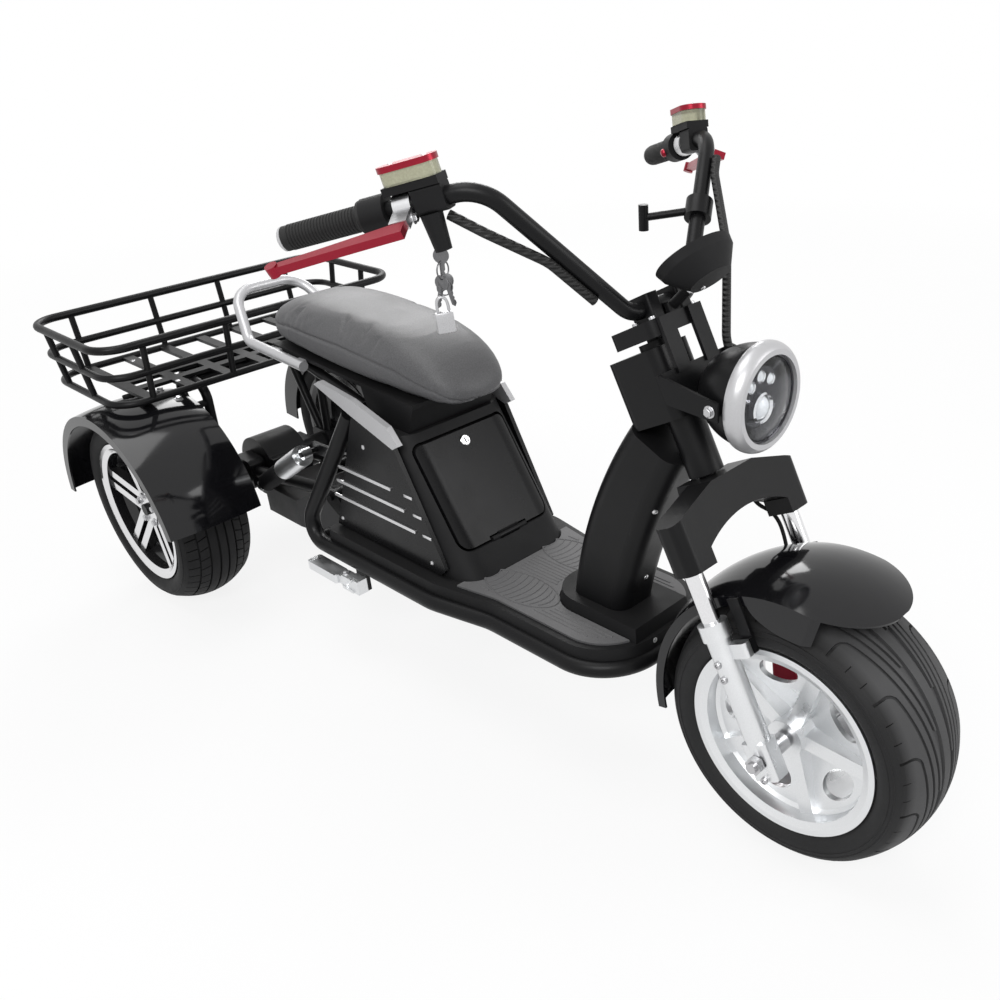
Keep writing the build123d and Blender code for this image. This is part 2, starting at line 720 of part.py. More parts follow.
# Holder on the left run of the bar: a clamp, an arm back and a cross bar
left_run = bar_left[1] - bar_left[0]
holder_at = bar_left[0] + left_run * HOLDER_ALONG
holder_end = holder_at + Vector(*HOLDER_RUN)
with BuildPart() as holder:
    with BuildSketch(Plane(origin=holder_at - left_run.normalized() * 16, z_dir=left_run)):
        Circle(BAR_R + 9)
    extrude(amount=32)
    add(rod(holder_at, holder_end, 6))
    add(rod(holder_end - Vector(0, 0, 20), holder_end + Vector(0, 0, 20), 8))
    with BuildSketch(Plane(origin=holder_at - left_run.normalized() * 40, z_dir=left_run)):
        Circle(BAR_R + RUN)
    extrude(amount=80, mode=Mode.SUBTRACT)
save(holder.part, "bar_holder")

# Looms: one under the right-hand bend and along the bar, one down ahead of the left-hand run to the lamp bracket
loom_gap = BAR_R + LOOM_R + FIT
right_run = (bar_right[1] - bar_right[0]).normalized()
loom_under = -right_run.cross(Vector(1, 0, 0)).normalized()
foot_low = BAR_R + COLLAR - 2
loom_start = bar_tip - grip_axis * (foot_in + foot_l - 8) - grip_up * (foot_low + LOOM_R + FIT)
loom_side = bar_right[0] + loom_under * loom_gap
right_loom = tube([loom_start, bar_right[1] - Vector(0, 0, LOOM_SAG), loom_side + right_run * 150, loom_side + right_run * 60],
                  [30, 90], LOOM_R)
left_dir = left_run.normalized()
loom_ahead = (Vector(1, 0, 0) - left_dir * left_dir.X).normalized() * loom_gap
left_loom = tube([bar_left[0] + left_dir * 240 + loom_ahead, bar_left[0] + left_dir * 210 + loom_ahead]
                 + [steer(u, v, w) for u, v, w in LOOM_RUN], [60, 80, 60], LOOM_R)
with BuildPart() as looms:
    add(right_loom)
    add(left_loom)
save(looms.part, "cable_looms")

# Headlamp: bowl, ring, glass and bracket
lamp_front = Vector(FRONT_X + LAMP_X, 0, LAMP_Z)
lamp_plane = Plane(origin=lamp_front, x_dir=(1, 0, 0), z_dir=(0, -1, 0))
lamp_axis = Axis(lamp_front, (1, 0, 0))
with BuildPart() as bowl:
    with BuildSketch(lamp_plane):
        with BuildLine():
            Line((-LAMP_RING_W, 0), (-LAMP_RING_W, LAMP_R - 4))
            ThreePointArc((-LAMP_RING_W, LAMP_R - 4), (-LAMP_DEPTH + 26, LAMP_R * 0.68), (-LAMP_DEPTH, 26))
            Polyline((-LAMP_DEPTH, 26), (-LAMP_DEPTH, 0), (-LAMP_RING_W, 0))
        make_face()
    revolve(axis=lamp_axis)
    with BuildSketch(Plane(origin=lamp_front + Vector(-LAMP_RING_W - 18, 0, 0), x_dir=(1, 0, 0), z_dir=(0, -1, 0))):
        Circle(12)
    extrude(amount=LAMP_R + 2, both=True)
save(bowl.part, "lamp_bowl")
with BuildPart() as ring:
    with BuildSketch(lamp_plane):
        with BuildLine():
            Line((-LAMP_RING_W, LAMP_R), (-LAMP_RING_W, LAMP_R - 16))
            Line((-LAMP_RING_W, LAMP_R - 16), (0, LAMP_R - 16))
            Line((0, LAMP_R - 16), (0, LAMP_R - 8))
            ThreePointArc((0, LAMP_R - 8), (-8, LAMP_R - 1), (-LAMP_RING_W, LAMP_R))
        make_face()
    revolve(axis=lamp_axis)
save(ring.part, "lamp_ring")
with BuildPart() as glass:
    with BuildSketch(lamp_plane):
        with BuildLine():
            edge = LAMP_R - 16 - FIT
            dome = 190
            dome_turn = degrees(asin(edge / dome))
            bow = CenterArc((4 - dome, 0), dome, 0, dome_turn)
            Polyline(bow @ 0, (-14, 0), (-14, edge), bow @ 1)
        make_face()
    revolve(axis=lamp_axis)
save(glass.part, "lamp_glass")

lamp_arm_v = LAMP_R + 2
with BuildPart() as bracket:
    with BuildSketch(steer_plane(BRACKET_U, 0, CROWN_LOW - 96)):
        Rectangle(BRACKET_T, 2 * lamp_arm_v + 10)
    extrude(amount=44)
    for side in (-1, 1):
        with BuildSketch(steer_plane(65, side * 34, CROWN_LOW - 60)):
            Rectangle(6, 30)
        extrude(amount=60 + CROWN_TOP - CROWN_LOW)
        pivot = lamp_front + Vector(-LAMP_RING_W - 18, side * lamp_arm_v, 0)
        arm_plane = Plane(origin=pivot, x_dir=(1, 0, 0), z_dir=(0, side, 0))
        root = steer(59, 0, CROWN_LOW - 96) - pivot
        top = steer(65, 0, CROWN_LOW - 52) - pivot
        flip_z = -side
        with BuildSketch(arm_plane):
            Polygon((14, flip_z * -14), (14, flip_z * 14), (top.X, flip_z * top.Z), (root.X, flip_z * root.Z),
                    align=None)
        extrude(amount=5)
save(bracket.part, "lamp_bracket")

# Instrument pod on a stem from the upper clamp
pod_normal = Vector(-sin(radians(47)), 0, cos(radians(47)))
pod_centre = steer(POD_U, 0, BAR_W + POD_UP)
pod_stem = rod(steer(POD_FOOT_U, 0, CROWN_TOP + 8), pod_centre - pod_normal * 30, 8)
with BuildPart() as pod:
    with BuildSketch(Plane(origin=pod_centre, x_dir=(0, 1, 0), z_dir=pod_normal)):
        Ellipse(POD_HALF, POD_DEPTH)
    with BuildSketch(Plane(origin=pod_centre - pod_normal * 14, x_dir=(0, 1, 0), z_dir=pod_normal)):
        Ellipse(POD_HALF - 4, POD_DEPTH - 3)
    with BuildSketch(Plane(origin=pod_centre - pod_normal * 44, x_dir=(0, 1, 0), z_dir=pod_normal)):
        Ellipse(POD_HALF - 34, POD_DEPTH - 20)
    loft(ruled=True)
    with BuildSketch(steer_plane(POD_FOOT_U, 0, CROWN_TOP)):
        RectangleRounded(12, 26, 4)
    extrude(amount=14)
    add(pod_stem)
save(pod.part, "instrument_pod")

# Main frame: one bent rail round the deck and up behind the body, tied by cross tubes
rail_nose = FRONT_X - RAIL_FRONT_GAP - REAR_X
RAIL_RUN = ((RAIL_TOP_X, RAIL_TOP_Y, RAIL_TOP_Z, 0), (RAIL_BACK_X, RAIL_BACK_Y, RAIL_Z, RAIL_CORNER),
            (RAIL_WAIST_X, RAIL_BACK_Y, RAIL_Z, 160), (RAIL_WAIST_X + RAIL_WAIST_L, RAIL_FRONT_Y, RAIL_Z, 160),
            (rail_nose, RAIL_FRONT_Y, RAIL_Z, RAIL_FRONT_BEND))
rail_left = [behind(x, y, z) for x, y, z, bend in RAIL_RUN]
rail_right = [behind(x, -y, z) for x, y, z, bend in RAIL_RUN]
rail_bends = [bend for x, y, z, bend in RAIL_RUN[1:]]
rail_tube = tube(rail_right + rail_left[::-1], rail_bends + rail_bends[::-1], RAIL_R)
shock_low_z = ARM_PIVOT_Z + (AXLE_Z + ARM_END_UP - ARM_PIVOT_Z) * (ARM_PIVOT_X - SHOCK_LOW_X) / (ARM_PIVOT_X - ARM_END_X)
shock_low = (SHOCK_LOW_X, shock_low_z)
shock_bar_z = RAIL_Z + (SHOCK_BAR_X - RAIL_BACK_X) * (RAIL_TOP_Z - RAIL_Z) / (RAIL_TOP_X - RAIL_BACK_X)
shock_bar_y = RAIL_BACK_Y + (SHOCK_BAR_X - RAIL_BACK_X) * (RAIL_TOP_Y - RAIL_BACK_Y) / (RAIL_TOP_X - RAIL_BACK_X)
riser = (rail_right[0] - rail_right[1]).normalized() * 40
rail_cut = tube([rail_right[0] + riser] + rail_right[1:] + rail_left[:0:-1] + [rail_left[0] + flip_y(riser)],
                rail_bends + rail_bends[::-1], RAIL_R + FIT)
with BuildPart() as main_frame:
    add(rail_tube)
    for side in (-1, 1):
        with BuildSketch(Plane(origin=behind(PEG_X, side * (RAIL_BACK_Y + 8), 0), x_dir=(1, 0, 0), z_dir=(0, -1, 0))):
            with Locations((0, RAIL_Z - 26)):
                Rectangle(36, 48)
        extrude(amount=4, both=True)
save(main_frame.part, "main_frame")

# Cross tubes under the deck, the first with the swing arm's lugs
with BuildPart() as cross_tubes:
    for x in CROSS_XS:
        half = RAIL_BACK_Y if x < RAIL_WAIST_X else RAIL_FRONT_Y
        add(rod(behind(x, -half, RAIL_Z), behind(x, half, RAIL_Z), CROSS_R))
    for side in (-1, 1):
        with BuildSketch(Plane(origin=behind(0, side * ARM_LUG_Y, 0), x_dir=(1, 0, 0), z_dir=(0, -1, 0))):
            Polygon((ARM_PIVOT_X - 22, ARM_PIVOT_Z + 18), (ARM_PIVOT_X - 22, ARM_PIVOT_Z - 18),
                    (CROSS_XS[0] - 8, RAIL_Z - 10), (CROSS_XS[0] + 8, RAIL_Z + 10), (ARM_PIVOT_X + 16, ARM_PIVOT_Z + 18),
                    align=None)
        extrude(amount=4, both=True)
    with BuildSketch(Plane(origin=behind(ARM_PIVOT_X, 0, ARM_PIVOT_Z), x_dir=(1, 0, 0), z_dir=(0, -1, 0))):
        Circle(8 + RUN)
    extrude(amount=ARM_LUG_Y + 30, both=True, mode=Mode.SUBTRACT)
    add(rail_cut, mode=Mode.SUBTRACT)
save(cross_tubes.part, "cross_tubes")

# Upper frame between the risers: top tube, shock bar with its lugs, and the seat stays
with BuildPart() as upper_frame:
    add(rod(rail_right[0], rail_left[0], CROSS_R + 1))
    add(rod(behind(SHOCK_BAR_X, -shock_bar_y, shock_bar_z), behind(SHOCK_BAR_X, shock_bar_y, shock_bar_z), CROSS_R))
    for side in (-1, 1):
        add(rod(behind(RAIL_TOP_X, side * SEAT_STAY_Y, RAIL_TOP_Z), behind(SEAT_PAN_BACK + 30, side * SEAT_STAY_Y, SEAT_STAY_Z),
                SEAT_STAY_R))
        with BuildSketch(Plane(origin=behind(0, side * (SHOCK_Y - 32), 0), x_dir=(1, 0, 0), z_dir=(0, -1, 0))):
            Polygon((SHOCK_TOP[0] - 14, SHOCK_TOP[1] - 14), (SHOCK_BAR_X, shock_bar_z - 11),
                    (SHOCK_BAR_X, shock_bar_z + 11), (SHOCK_TOP[0] - 14, SHOCK_TOP[1] + 14), align=None)
        extrude(amount=4, both=True)
        add(rod(behind(SHOCK_TOP[0], side * (SHOCK_Y - 34), SHOCK_TOP[1]),
                behind(SHOCK_TOP[0], side * (SHOCK_Y + 14), SHOCK_TOP[1]), 6))
    add(rail_cut, mode=Mode.SUBTRACT)
save(upper_frame.part, "upper_frame")

# Deck pan with the oval plinth under the neck, and the ribbed mat
deck_nose = rail_nose + 4
deck_plan = [(DECK_BACK, RAIL_BACK_Y - 4), (RAIL_WAIST_X, RAIL_BACK_Y - 4),
             (RAIL_WAIST_X + RAIL_WAIST_L, RAIL_FRONT_Y), (deck_nose, RAIL_FRONT_Y)]


def deck_outline(inset):
    """Deck's plan, points and bends, drawn in by an inset."""
    half = [(x + inset if x == DECK_BACK else x - inset if x == deck_nose else x, y - inset) for x, y in deck_plan]
    points = [behind(x, -y, 0) for x, y in half] + [behind(x, y, 0) for x, y in reversed(half)]
    return [(q.X, q.Y) for q in points]


def deck_bends(inset):
    half = [12, 160, 160, RAIL_FRONT_BEND - inset]
    return half + half[::-1]


neck_foot = FRONT_X - NECK_GAP - NECK_FOOT_L / 2
plinth_back = neck_foot - PLINTH_L / 2 + PLINTH_W / 2
plinth_front = REAR_X + deck_nose - PLINTH_INSET


def plinth_plan(grow):
    """The plinth's plan: round behind the neck, square at the deck's nose."""
    half = PLINTH_W / 2 + grow
    with BuildSketch(mode=Mode.PRIVATE) as plan:
        with Locations((plinth_back, 0)):
            Circle(half)
        with Locations(((plinth_back + plinth_front) / 2, 0)):
            Rectangle(plinth_front - plinth_back, 2 * half)
    return plan.sketch


plinth_face = plinth_plan(0)
mat_cut = plinth_plan(MAT_GAP)
with BuildPart() as deck:
    with BuildSketch(Plane.XY.offset(DECK_LOW)):
        with BuildLine():
            FilletPolyline(*deck_outline(0), radius=deck_bends(0), close=True)
        make_face()
    extrude(amount=DECK_T)
    with BuildSketch(Plane.XY.offset(DECK_TOP)):
        add(plinth_face)
    extrude(amount=PLINTH_H, taper=PLINTH_TAPER)
save(deck.part, "deck_pan")

mat_back = BOX_FRONT - BOX_CORNER / 2
with BuildPart() as mat:
    with BuildSketch(Plane.XY.offset(DECK_TOP)):
        with BuildLine():
            FilletPolyline(*deck_outline(MAT_INSET), radius=deck_bends(MAT_INSET), close=True)
        make_face()
        with Locations((REAR_X + mat_back, 0)):
            Rectangle(2 * mat_back, 4 * RAIL_BACK_Y, align=(Align.MAX, Align.CENTER), mode=Mode.SUBTRACT)
        with Locations((REAR_X + (BOX_BACK + BOX_FRONT) / 2, 0)):
            RectangleRounded(BOX_FRONT - BOX_BACK + 2 * MAT_GAP, 2 * (BOX_HALF + MAT_GAP), BOX_CORNER,
                             mode=Mode.SUBTRACT)
        add(mat_cut, mode=Mode.SUBTRACT)
        with Locations((plinth_front, 0)):
            Rectangle(2 * PLINTH_W, PLINTH_W + 2 * MAT_GAP, mode=Mode.SUBTRACT)
    extrude(amount=MAT_T)
save(mat.part, "floor_mat")

# Neck: a curved upright from the plinth to the steering head
neck_low = DECK_TOP + PLINTH_H
neck_back = steer(-84, 0, 545)
neck_front = steer(-16, 0, HEAD_LOW + 26)
with BuildPart() as neck:
    with BuildSketch(Plane.XZ):
        with BuildLine():
            foot_back = (neck_foot - NECK_FOOT_L / 2, neck_low)
            foot_front = (neck_foot + NECK_FOOT_L / 2, neck_low)
            back_top = (neck_back.X, neck_back.Z)
            front_top = (neck_front.X, neck_front.Z)
            back_mid = ((foot_back[0] + back_top[0]) / 2 - 24, (foot_back[1] + back_top[1]) / 2)
            front_mid = ((foot_front[0] + front_top[0]) / 2 - 12, (foot_front[1] + front_top[1]) / 2)
            Line(foot_back, foot_front)
            ThreePointArc(foot_front, front_mid, front_top)
            Line(front_top, back_top)
            ThreePointArc(back_top, back_mid, foot_back)
        make_face()
    extrude(amount=NECK_HALF, both=True)
    fillet(neck.edges().filter_by(GeomType.CIRCLE), 30)
    with BuildSketch(steer_plane(0, 0, HEAD_LOW)):
        Circle(HEAD_R)
    extrude(amount=HEAD_TOP - HEAD_LOW)
    with BuildSketch(steer_plane(-26, 0, 530)):
        RectangleRounded(118, 86, 22)
    extrude(amount=HEAD_TOP - 530 - 10)
    with BuildSketch(steer_plane(0, 0, HEAD_LOW - 1)):
        Circle(STEM_R + RUN)
    extrude(amount=HEAD_TOP, mode=Mode.SUBTRACT)
save(neck.part, "neck")

# Body: a hollow box whose front leans back, with a hinged battery door
def box_form(inset, low_cut=0):
    """The body's outer form drawn in by a wall, from the deck up."""
    with BuildPart() as made:
        for level, back, front in ((low_cut, 0, 0), (BOX_H - inset, BOX_LEAN_BACK, BOX_LEAN_FRONT)):
            share = level / BOX_H
            x_back = REAR_X + BOX_BACK + BOX_LEAN_BACK * share + inset
            x_front = REAR_X + BOX_FRONT - BOX_LEAN_FRONT * share - inset
            with BuildSketch(Plane.XY.offset(DECK_TOP + level)) as plan:
                with Locations(((x_back + x_front) / 2, 0)):
                    Rectangle(x_front - x_back, 2 * (BOX_HALF - inset))
                fillet(plan.vertices().group_by(Axis.X)[-1], BOX_CORNER - inset)
        loft(ruled=True)
    return made.part


def door_block(grow):
    """A block over the door's outline, as seen from the front."""
    with BuildPart() as made:
        with BuildSketch(Plane(origin=behind(BOX_BACK + 250, 0, 0), x_dir=(0, 1, 0), z_dir=(1, 0, 0))):
            with Locations((0, (DOOR_LOW + DOOR_HIGH) / 2)):
                RectangleRounded(2 * (DOOR_HALF + grow), DOOR_HIGH - DOOR_LOW + 2 * grow, 16 + grow)
        extrude(amount=BOX_FRONT - BOX_BACK)
    return made.part


def box_face_x(z):
    """Forward face of the body at a height, on the centre line."""
    return REAR_X + BOX_FRONT - BOX_LEAN_FRONT * (z - DECK_TOP) / BOX_H


hinge_z = DOOR_LOW - 1
hinge_x = box_face_x(hinge_z)
hinge_axis = Plane(origin=(hinge_x, 0, hinge_z), x_dir=(1, 0, 0), z_dir=(0, -1, 0))
outer_form = box_form(0)
with BuildPart() as box:
    add(outer_form)
    add(box_form(BOX_WALL, BOX_WALL), mode=Mode.SUBTRACT)
    add(door_block(DOOR_GAP), mode=Mode.SUBTRACT)
    with BuildSketch(hinge_axis):
        Circle(HINGE_R + 2)
    extrude(amount=HINGE_HALF + FIT, both=True, mode=Mode.SUBTRACT)
    for side in (-1, 1):
        with BuildSketch(Plane(origin=(hinge_x, side * (HINGE_HALF + FIT), hinge_z), x_dir=(1, 0, 0), z_dir=(0, side, 0))):
            Circle(HINGE_R)
            with Locations((-3, side * (DOOR_GAP + 4) / 2)):
                Rectangle(6, DOOR_GAP + 6)
        extrude(amount=18)
    with BuildSketch(hinge_axis):
        Circle(HINGE_PIN_R + RUN)
    extrude(amount=HINGE_HALF + 40, both=True, mode=Mode.SUBTRACT)
save(box.part, "battery_box")

with BuildPart() as door:
    add(outer_form)
    add(box_form(DOOR_T), mode=Mode.SUBTRACT)
    add(door_block(0), mode=Mode.INTERSECT)
    with BuildSketch(hinge_axis):
        Circle(HINGE_R)
        with Locations((-4, 4)):
            Rectangle(8, 8)
    extrude(amount=HINGE_HALF, both=True)
    for side in (-1, 1):
        with BuildSketch(Plane(origin=(hinge_x, side * HINGE_HALF, hinge_z), x_dir=(1, 0, 0), z_dir=(0, side, 0))):
            Circle(HINGE_R + 3)
        extrude(amount=22, mode=Mode.SUBTRACT)
    with BuildSketch(hinge_axis):
        Circle(HINGE_PIN_R)
    extrude(amount=HINGE_HALF + 16, both=True)
save(door.part, "battery_door")

with BuildPart() as battery:
    with BuildSketch(Plane.XY.offset(DECK_TOP + BOX_WALL)):
        with Locations((REAR_X + BATTERY_X + BATTERY_L / 2, 0)):
            RectangleRounded(BATTERY_L, 2 * BATTERY_HALF, 8)
    extrude(amount=BATTERY_H)
save(battery.part, "battery_pack")

# Side panels with bright strips, and the pale trim above them
panel_low = DECK_TOP + MAT_T + 1
PANEL = ((502, panel_low), (848, panel_low), (866, panel_low + 18), (752, 528), (628, 566), (620, 556))
TRIM = ((514, 606), (628, 567), (753, 529), (772, 540), (745, 572), (640, 602), (532, 616))
STRIPS = ((547, 724, 436), (532, 760, 400), (514, 787, 362))
flank = Plane(origin=behind(0, -BOX_HALF, 0), x_dir=(1, 0, 0), z_dir=(0, -1, 0))
with BuildPart() as panel:
    with BuildSketch(flank):
        Polygon(*PANEL, align=None)
    extrude(amount=PANEL_T)
save(pair(panel.part), "side_panels")
with BuildPart() as strips:
    with BuildSketch(flank.offset(PANEL_T)):
        for start, end, height in STRIPS:
            with Locations(((start + end) / 2, height)):
                SlotOverall(end - start, STRIP_H)
    extrude(amount=STRIP_T)
save(pair(strips.part), "panel_strips")
with BuildPart() as trim:
    with BuildSketch(flank.offset(FIT)):
        Polygon(*[(x, z + FIT) for x, z in TRIM], align=None)
    extrude(amount=PANEL_T + 3)
save(pair(trim.part), "seat_trims")

# Seat on its pan and pedestal
def seat_low(x):
    """Height of the seat's underside, measured forward from the rear axle."""
    return SEAT_LOW_BACK + (SEAT_LOW_FRONT - SEAT_LOW_BACK) * (x - SEAT_BACK) / (SEAT_FRONT - SEAT_BACK)


pan_front = SEAT_FRONT - 110
with BuildPart() as seat_base:
    with BuildSketch(Plane(origin=behind(0, 0, 0), x_dir=(1, 0, 0), z_dir=(0, -1, 0))):
        box_top = DECK_TOP + BOX_H
        Polygon((SEAT_BASE_BACK, box_top), (SEAT_BASE_FRONT, box_top), (pan_front, seat_low(pan_front) - SEAT_PAN_T),
                (pan_front, seat_low(pan_front) - FIT), (SEAT_PAN_BACK, seat_low(SEAT_PAN_BACK) - FIT),
                (SEAT_PAN_BACK, seat_low(SEAT_PAN_BACK) - SEAT_PAN_T),
                (SEAT_BASE_BACK - 20, seat_low(SEAT_BASE_BACK - 20) - SEAT_PAN_T), align=None)
    extrude(amount=SEAT_BASE_HALF, both=True)
save(seat_base.part, "seat_base")

# Seat sections: place forward of the rear axle, shoulder height, crown height and half width
SEAT_RUN = ((SEAT_BACK, 668, 684, 62), (SEAT_BACK + 45, 690, 718, 104), (380, 702, 738, 122), (560, 698, 736, 128),
            (720, 680, 724, 118), (815, 652, 694, 96), (SEAT_FRONT - 8, 622, 640, 64))
with BuildPart() as seat:
    for x, shoulder, crown, half in SEAT_RUN:
        low = seat_low(x)
        with BuildSketch(Plane(origin=behind(x, 0, 0), x_dir=(0, 1, 0), z_dir=(1, 0, 0))):
            with BuildLine():
                Polyline((-half, shoulder), (-half + 6, low), (half - 6, low), (half, shoulder))
                ThreePointArc((half, shoulder), (0, crown), (-half, shoulder))
            make_face()
    loft(ruled=True)
save(seat.part, "seat")

# Grab rail: it leaves the seat pan's flanks and loops round the back of the seat
rail_y = SEAT_BASE_HALF + GRAB_R + 2
GRAB_RUN = ((SEAT_PAN_BACK + 130, rail_y, seat_low(SEAT_PAN_BACK + 130) - GRAB_R - 2, 0),
            (SEAT_BACK - 22, rail_y, seat_low(SEAT_BACK) - GRAB_R - 2, 40), (SEAT_BACK - 118, 78, 712, 60))
grab_left = [behind(x, y, z) for x, y, z, bend in GRAB_RUN]
grab_right = [behind(x, -y, z) for x, y, z, bend in GRAB_RUN]
grab_bends = [bend for x, y, z, bend in GRAB_RUN[1:]]
grab_tube = tube(grab_right + grab_left[::-1], grab_bends + grab_bends[::-1], GRAB_R)
with BuildPart() as grab:
    add(grab_tube)
    for side in (-1, 1):
        for x in (SEAT_PAN_BACK + 20, SEAT_PAN_BACK + 110):
            foot = seat_low(x) - SEAT_PAN_T
            with BuildSketch(Plane(origin=behind(x, side * SEAT_BASE_HALF, foot), x_dir=(1, 0, 0), z_dir=(0, side, 0))):
                Rectangle(24, 6)
            extrude(amount=GRAB_R)
save(grab.part, "grab_rail")

# Swing arm: sleeve and pin at the frame, two arms and saddles on the axle beam
axle_centre = behind(0, 0, AXLE_Z)
with BuildPart() as swing_arm:
    sleeve = ARM_LUG_Y - 4 - FIT
    add(rod(behind(ARM_PIVOT_X, -sleeve, ARM_PIVOT_Z), behind(ARM_PIVOT_X, sleeve, ARM_PIVOT_Z), ARM_R))
    add(rod(behind(ARM_PIVOT_X, -ARM_LUG_Y - 10, ARM_PIVOT_Z), behind(ARM_PIVOT_X, ARM_LUG_Y + 10, ARM_PIVOT_Z), 8))
    for side in (-1, 1):
        add(rod(behind(ARM_PIVOT_X, side * (ARM_Y - 12), ARM_PIVOT_Z), behind(ARM_END_X, side * ARM_Y, AXLE_Z + ARM_END_UP), ARM_R))
        with BuildSketch(Plane(origin=behind(0, side * ARM_Y, AXLE_Z), x_dir=(1, 0, 0), z_dir=(0, -1, 0))):
            RectangleRounded(84, 76, 16)
        extrude(amount=20, both=True)
        add(rod(behind(shock_low[0], side * ARM_Y, shock_low[1]),
                behind(shock_low[0], side * (SHOCK_Y + 14), shock_low[1]), 6))
    with BuildSketch(Plane(origin=axle_centre, x_dir=(1, 0, 0), z_dir=(0, -1, 0))):
        Circle(BEAM_R + FIT)
    extrude(amount=BEAM_HALF, both=True, mode=Mode.SUBTRACT)
save(swing_arm.part, "swing_arm")

# Rear axle: beam, gear casing, hub plates and the shafts that carry the wheels
shaft_half = REAR_TRACK / 2 + REAR_HUB_W / 2 + 8
with BuildPart() as rear_axle:
    with BuildSketch(Plane(origin=axle_centre, x_dir=(1, 0, 0), z_dir=(0, -1, 0))):
        Circle(BEAM_R)
    extrude(amount=BEAM_HALF, both=True)
    with BuildSketch(Plane(origin=axle_centre, x_dir=(1, 0, 0), z_dir=(0, -1, 0))):
        Circle(CASE_R)
        with Locations((CASE_R / 2, 0)):
            Rectangle(CASE_R + 12, 80)
    extrude(amount=CASE_HALF, both=True)
    for side in (-1, 1):
        with BuildSketch(Plane(origin=behind(0, side * BEAM_HALF, AXLE_Z), x_dir=(1, 0, 0), z_dir=(0, side, 0))):
            Circle(HUB_PLATE_R)
        extrude(amount=HUB_PLATE_T)
    with BuildSketch(Plane(origin=axle_centre, x_dir=(1, 0, 0), z_dir=(0, -1, 0))):
        Circle(REAR_SHAFT_R)
    extrude(amount=shaft_half, both=True)
save(rear_axle.part, "rear_axle")

motor_low = AXLE_Z - MOTOR_DROP
motor_high = motor_low + MOTOR_H
with BuildPart() as motor:
    with BuildSketch(Plane(origin=behind(MOTOR_BACK, 0, 0), x_dir=(0, 1, 0), z_dir=(1, 0, 0))):
        Polygon((-MOTOR_HALF, motor_low + 34), (-MOTOR_HALF + 40, motor_low), (MOTOR_HALF - 40, motor_low),
                (MOTOR_HALF, motor_low + 34), (MOTOR_HALF, motor_high), (-MOTOR_HALF, motor_high), align=None)
    extrude(amount=MOTOR_FRONT - MOTOR_BACK)
save(motor.part, "drive_motor")

# Rear shocks: a bright body above a black spring, eyes on the arm's and the frame's pins
shock_run = behind(SHOCK_TOP[0], 0, SHOCK_TOP[1]) - behind(shock_low[0], 0, shock_low[1])
shock_l = shock_run.length
spring_top = shock_l * 0.52


def shock_plane(side, along):
    base = behind(shock_low[0], side * SHOCK_Y, shock_low[1])
    return Plane(origin=base + shock_run.normalized() * along, x_dir=(0, 1, 0), z_dir=shock_run)


with BuildPart() as shock_bodies:
    for side in (-1, 1):
        for along in (0, shock_l):
            eye = shock_plane(side, along).origin
            with BuildSketch(Plane(origin=eye, x_dir=(1, 0, 0), z_dir=(0, -1, 0))):
                Circle(EYE_R)
            extrude(amount=10, both=True)
        with BuildSketch(shock_plane(side, 4)):
            Circle(8)
        extrude(amount=shock_l - 8)
        with BuildSketch(shock_plane(side, spring_top)):
            Circle(SPRING_R)
        extrude(amount=shock_l - spring_top - EYE_R - 6)
        for along in (0, shock_l):
            eye = shock_plane(side, along).origin
            with BuildSketch(Plane(origin=eye, x_dir=(1, 0, 0), z_dir=(0, -1, 0))):
                Circle(6 + RUN)
            extrude(amount=20, both=True, mode=Mode.SUBTRACT)
save(shock_bodies.part, "shock_bodies")
with BuildPart() as springs:
    for side in (-1, 1):
        with BuildSketch(Plane(origin=shock_plane(side, 0).origin, x_dir=shock_run, z_dir=(0, -1, 0))):
            with BuildLine():
                first = EYE_R + 6
                pitch = (spring_top - FIT - first) / (2 * RIDGES)
                edge = [(first + k * pitch, SPRING_R - 2 if k % 2 else SPRING_R - 7) for k in range(2 * RIDGES + 1)]
                Polyline((first, 8 + FIT), *edge, (spring_top - FIT, 8 + FIT), close=True)
            make_face()
        revolve(axis=Axis(shock_plane(side, 0).origin, shock_run))
save(springs.part, "shock_springs")

# Carrier: two hoops clamped on the beam, tied across, with tabs out to the fenders
carrier_z = BASKET_LOW - SLAT_T / 2 - FIT - CARRIER_R
HOOP = ((16, AXLE_Z + 30, 0), (CARRIER_FRONT, carrier_z, CARRIER_BEND), (CARRIER_BACK, carrier_z, CARRIER_BEND),
        (-16, AXLE_Z + 30, 0))
CARRIER_TABS = ((23, 450), (-98, 425))
hoop_bends = [bend for x, z, bend in HOOP[1:-1]]
hoops = [tube([behind(x, side * CARRIER_Y, z) for x, z, bend in HOOP], hoop_bends, CARRIER_R) for side in (-1, 1)]
with BuildPart() as carrier:
    for hoop in hoops:
        add(hoop)
    for side in (-1, 1):
        with BuildSketch(Plane(origin=behind(0, side * CARRIER_Y, AXLE_Z), x_dir=(1, 0, 0), z_dir=(0, -1, 0))):
            RectangleRounded(72, 76, 14)
        extrude(amount=CLAMP_HALF, both=True)
        for x, z in CARRIER_TABS:
            add(rod(behind(x, side * CARRIER_Y, z), behind(x, side * REAR_FENDER_INNER, z), TAB_R))
    for x in CARRIER_TIES:
        add(rod(behind(x, -CARRIER_Y, carrier_z), behind(x, CARRIER_Y, carrier_z), TAB_R))
    with BuildSketch(Plane(origin=axle_centre, x_dir=(1, 0, 0), z_dir=(0, -1, 0))):
        Circle(BEAM_R + FIT)
    extrude(amount=BEAM_HALF, both=True, mode=Mode.SUBTRACT)
save(carrier.part, "rear_carrier")

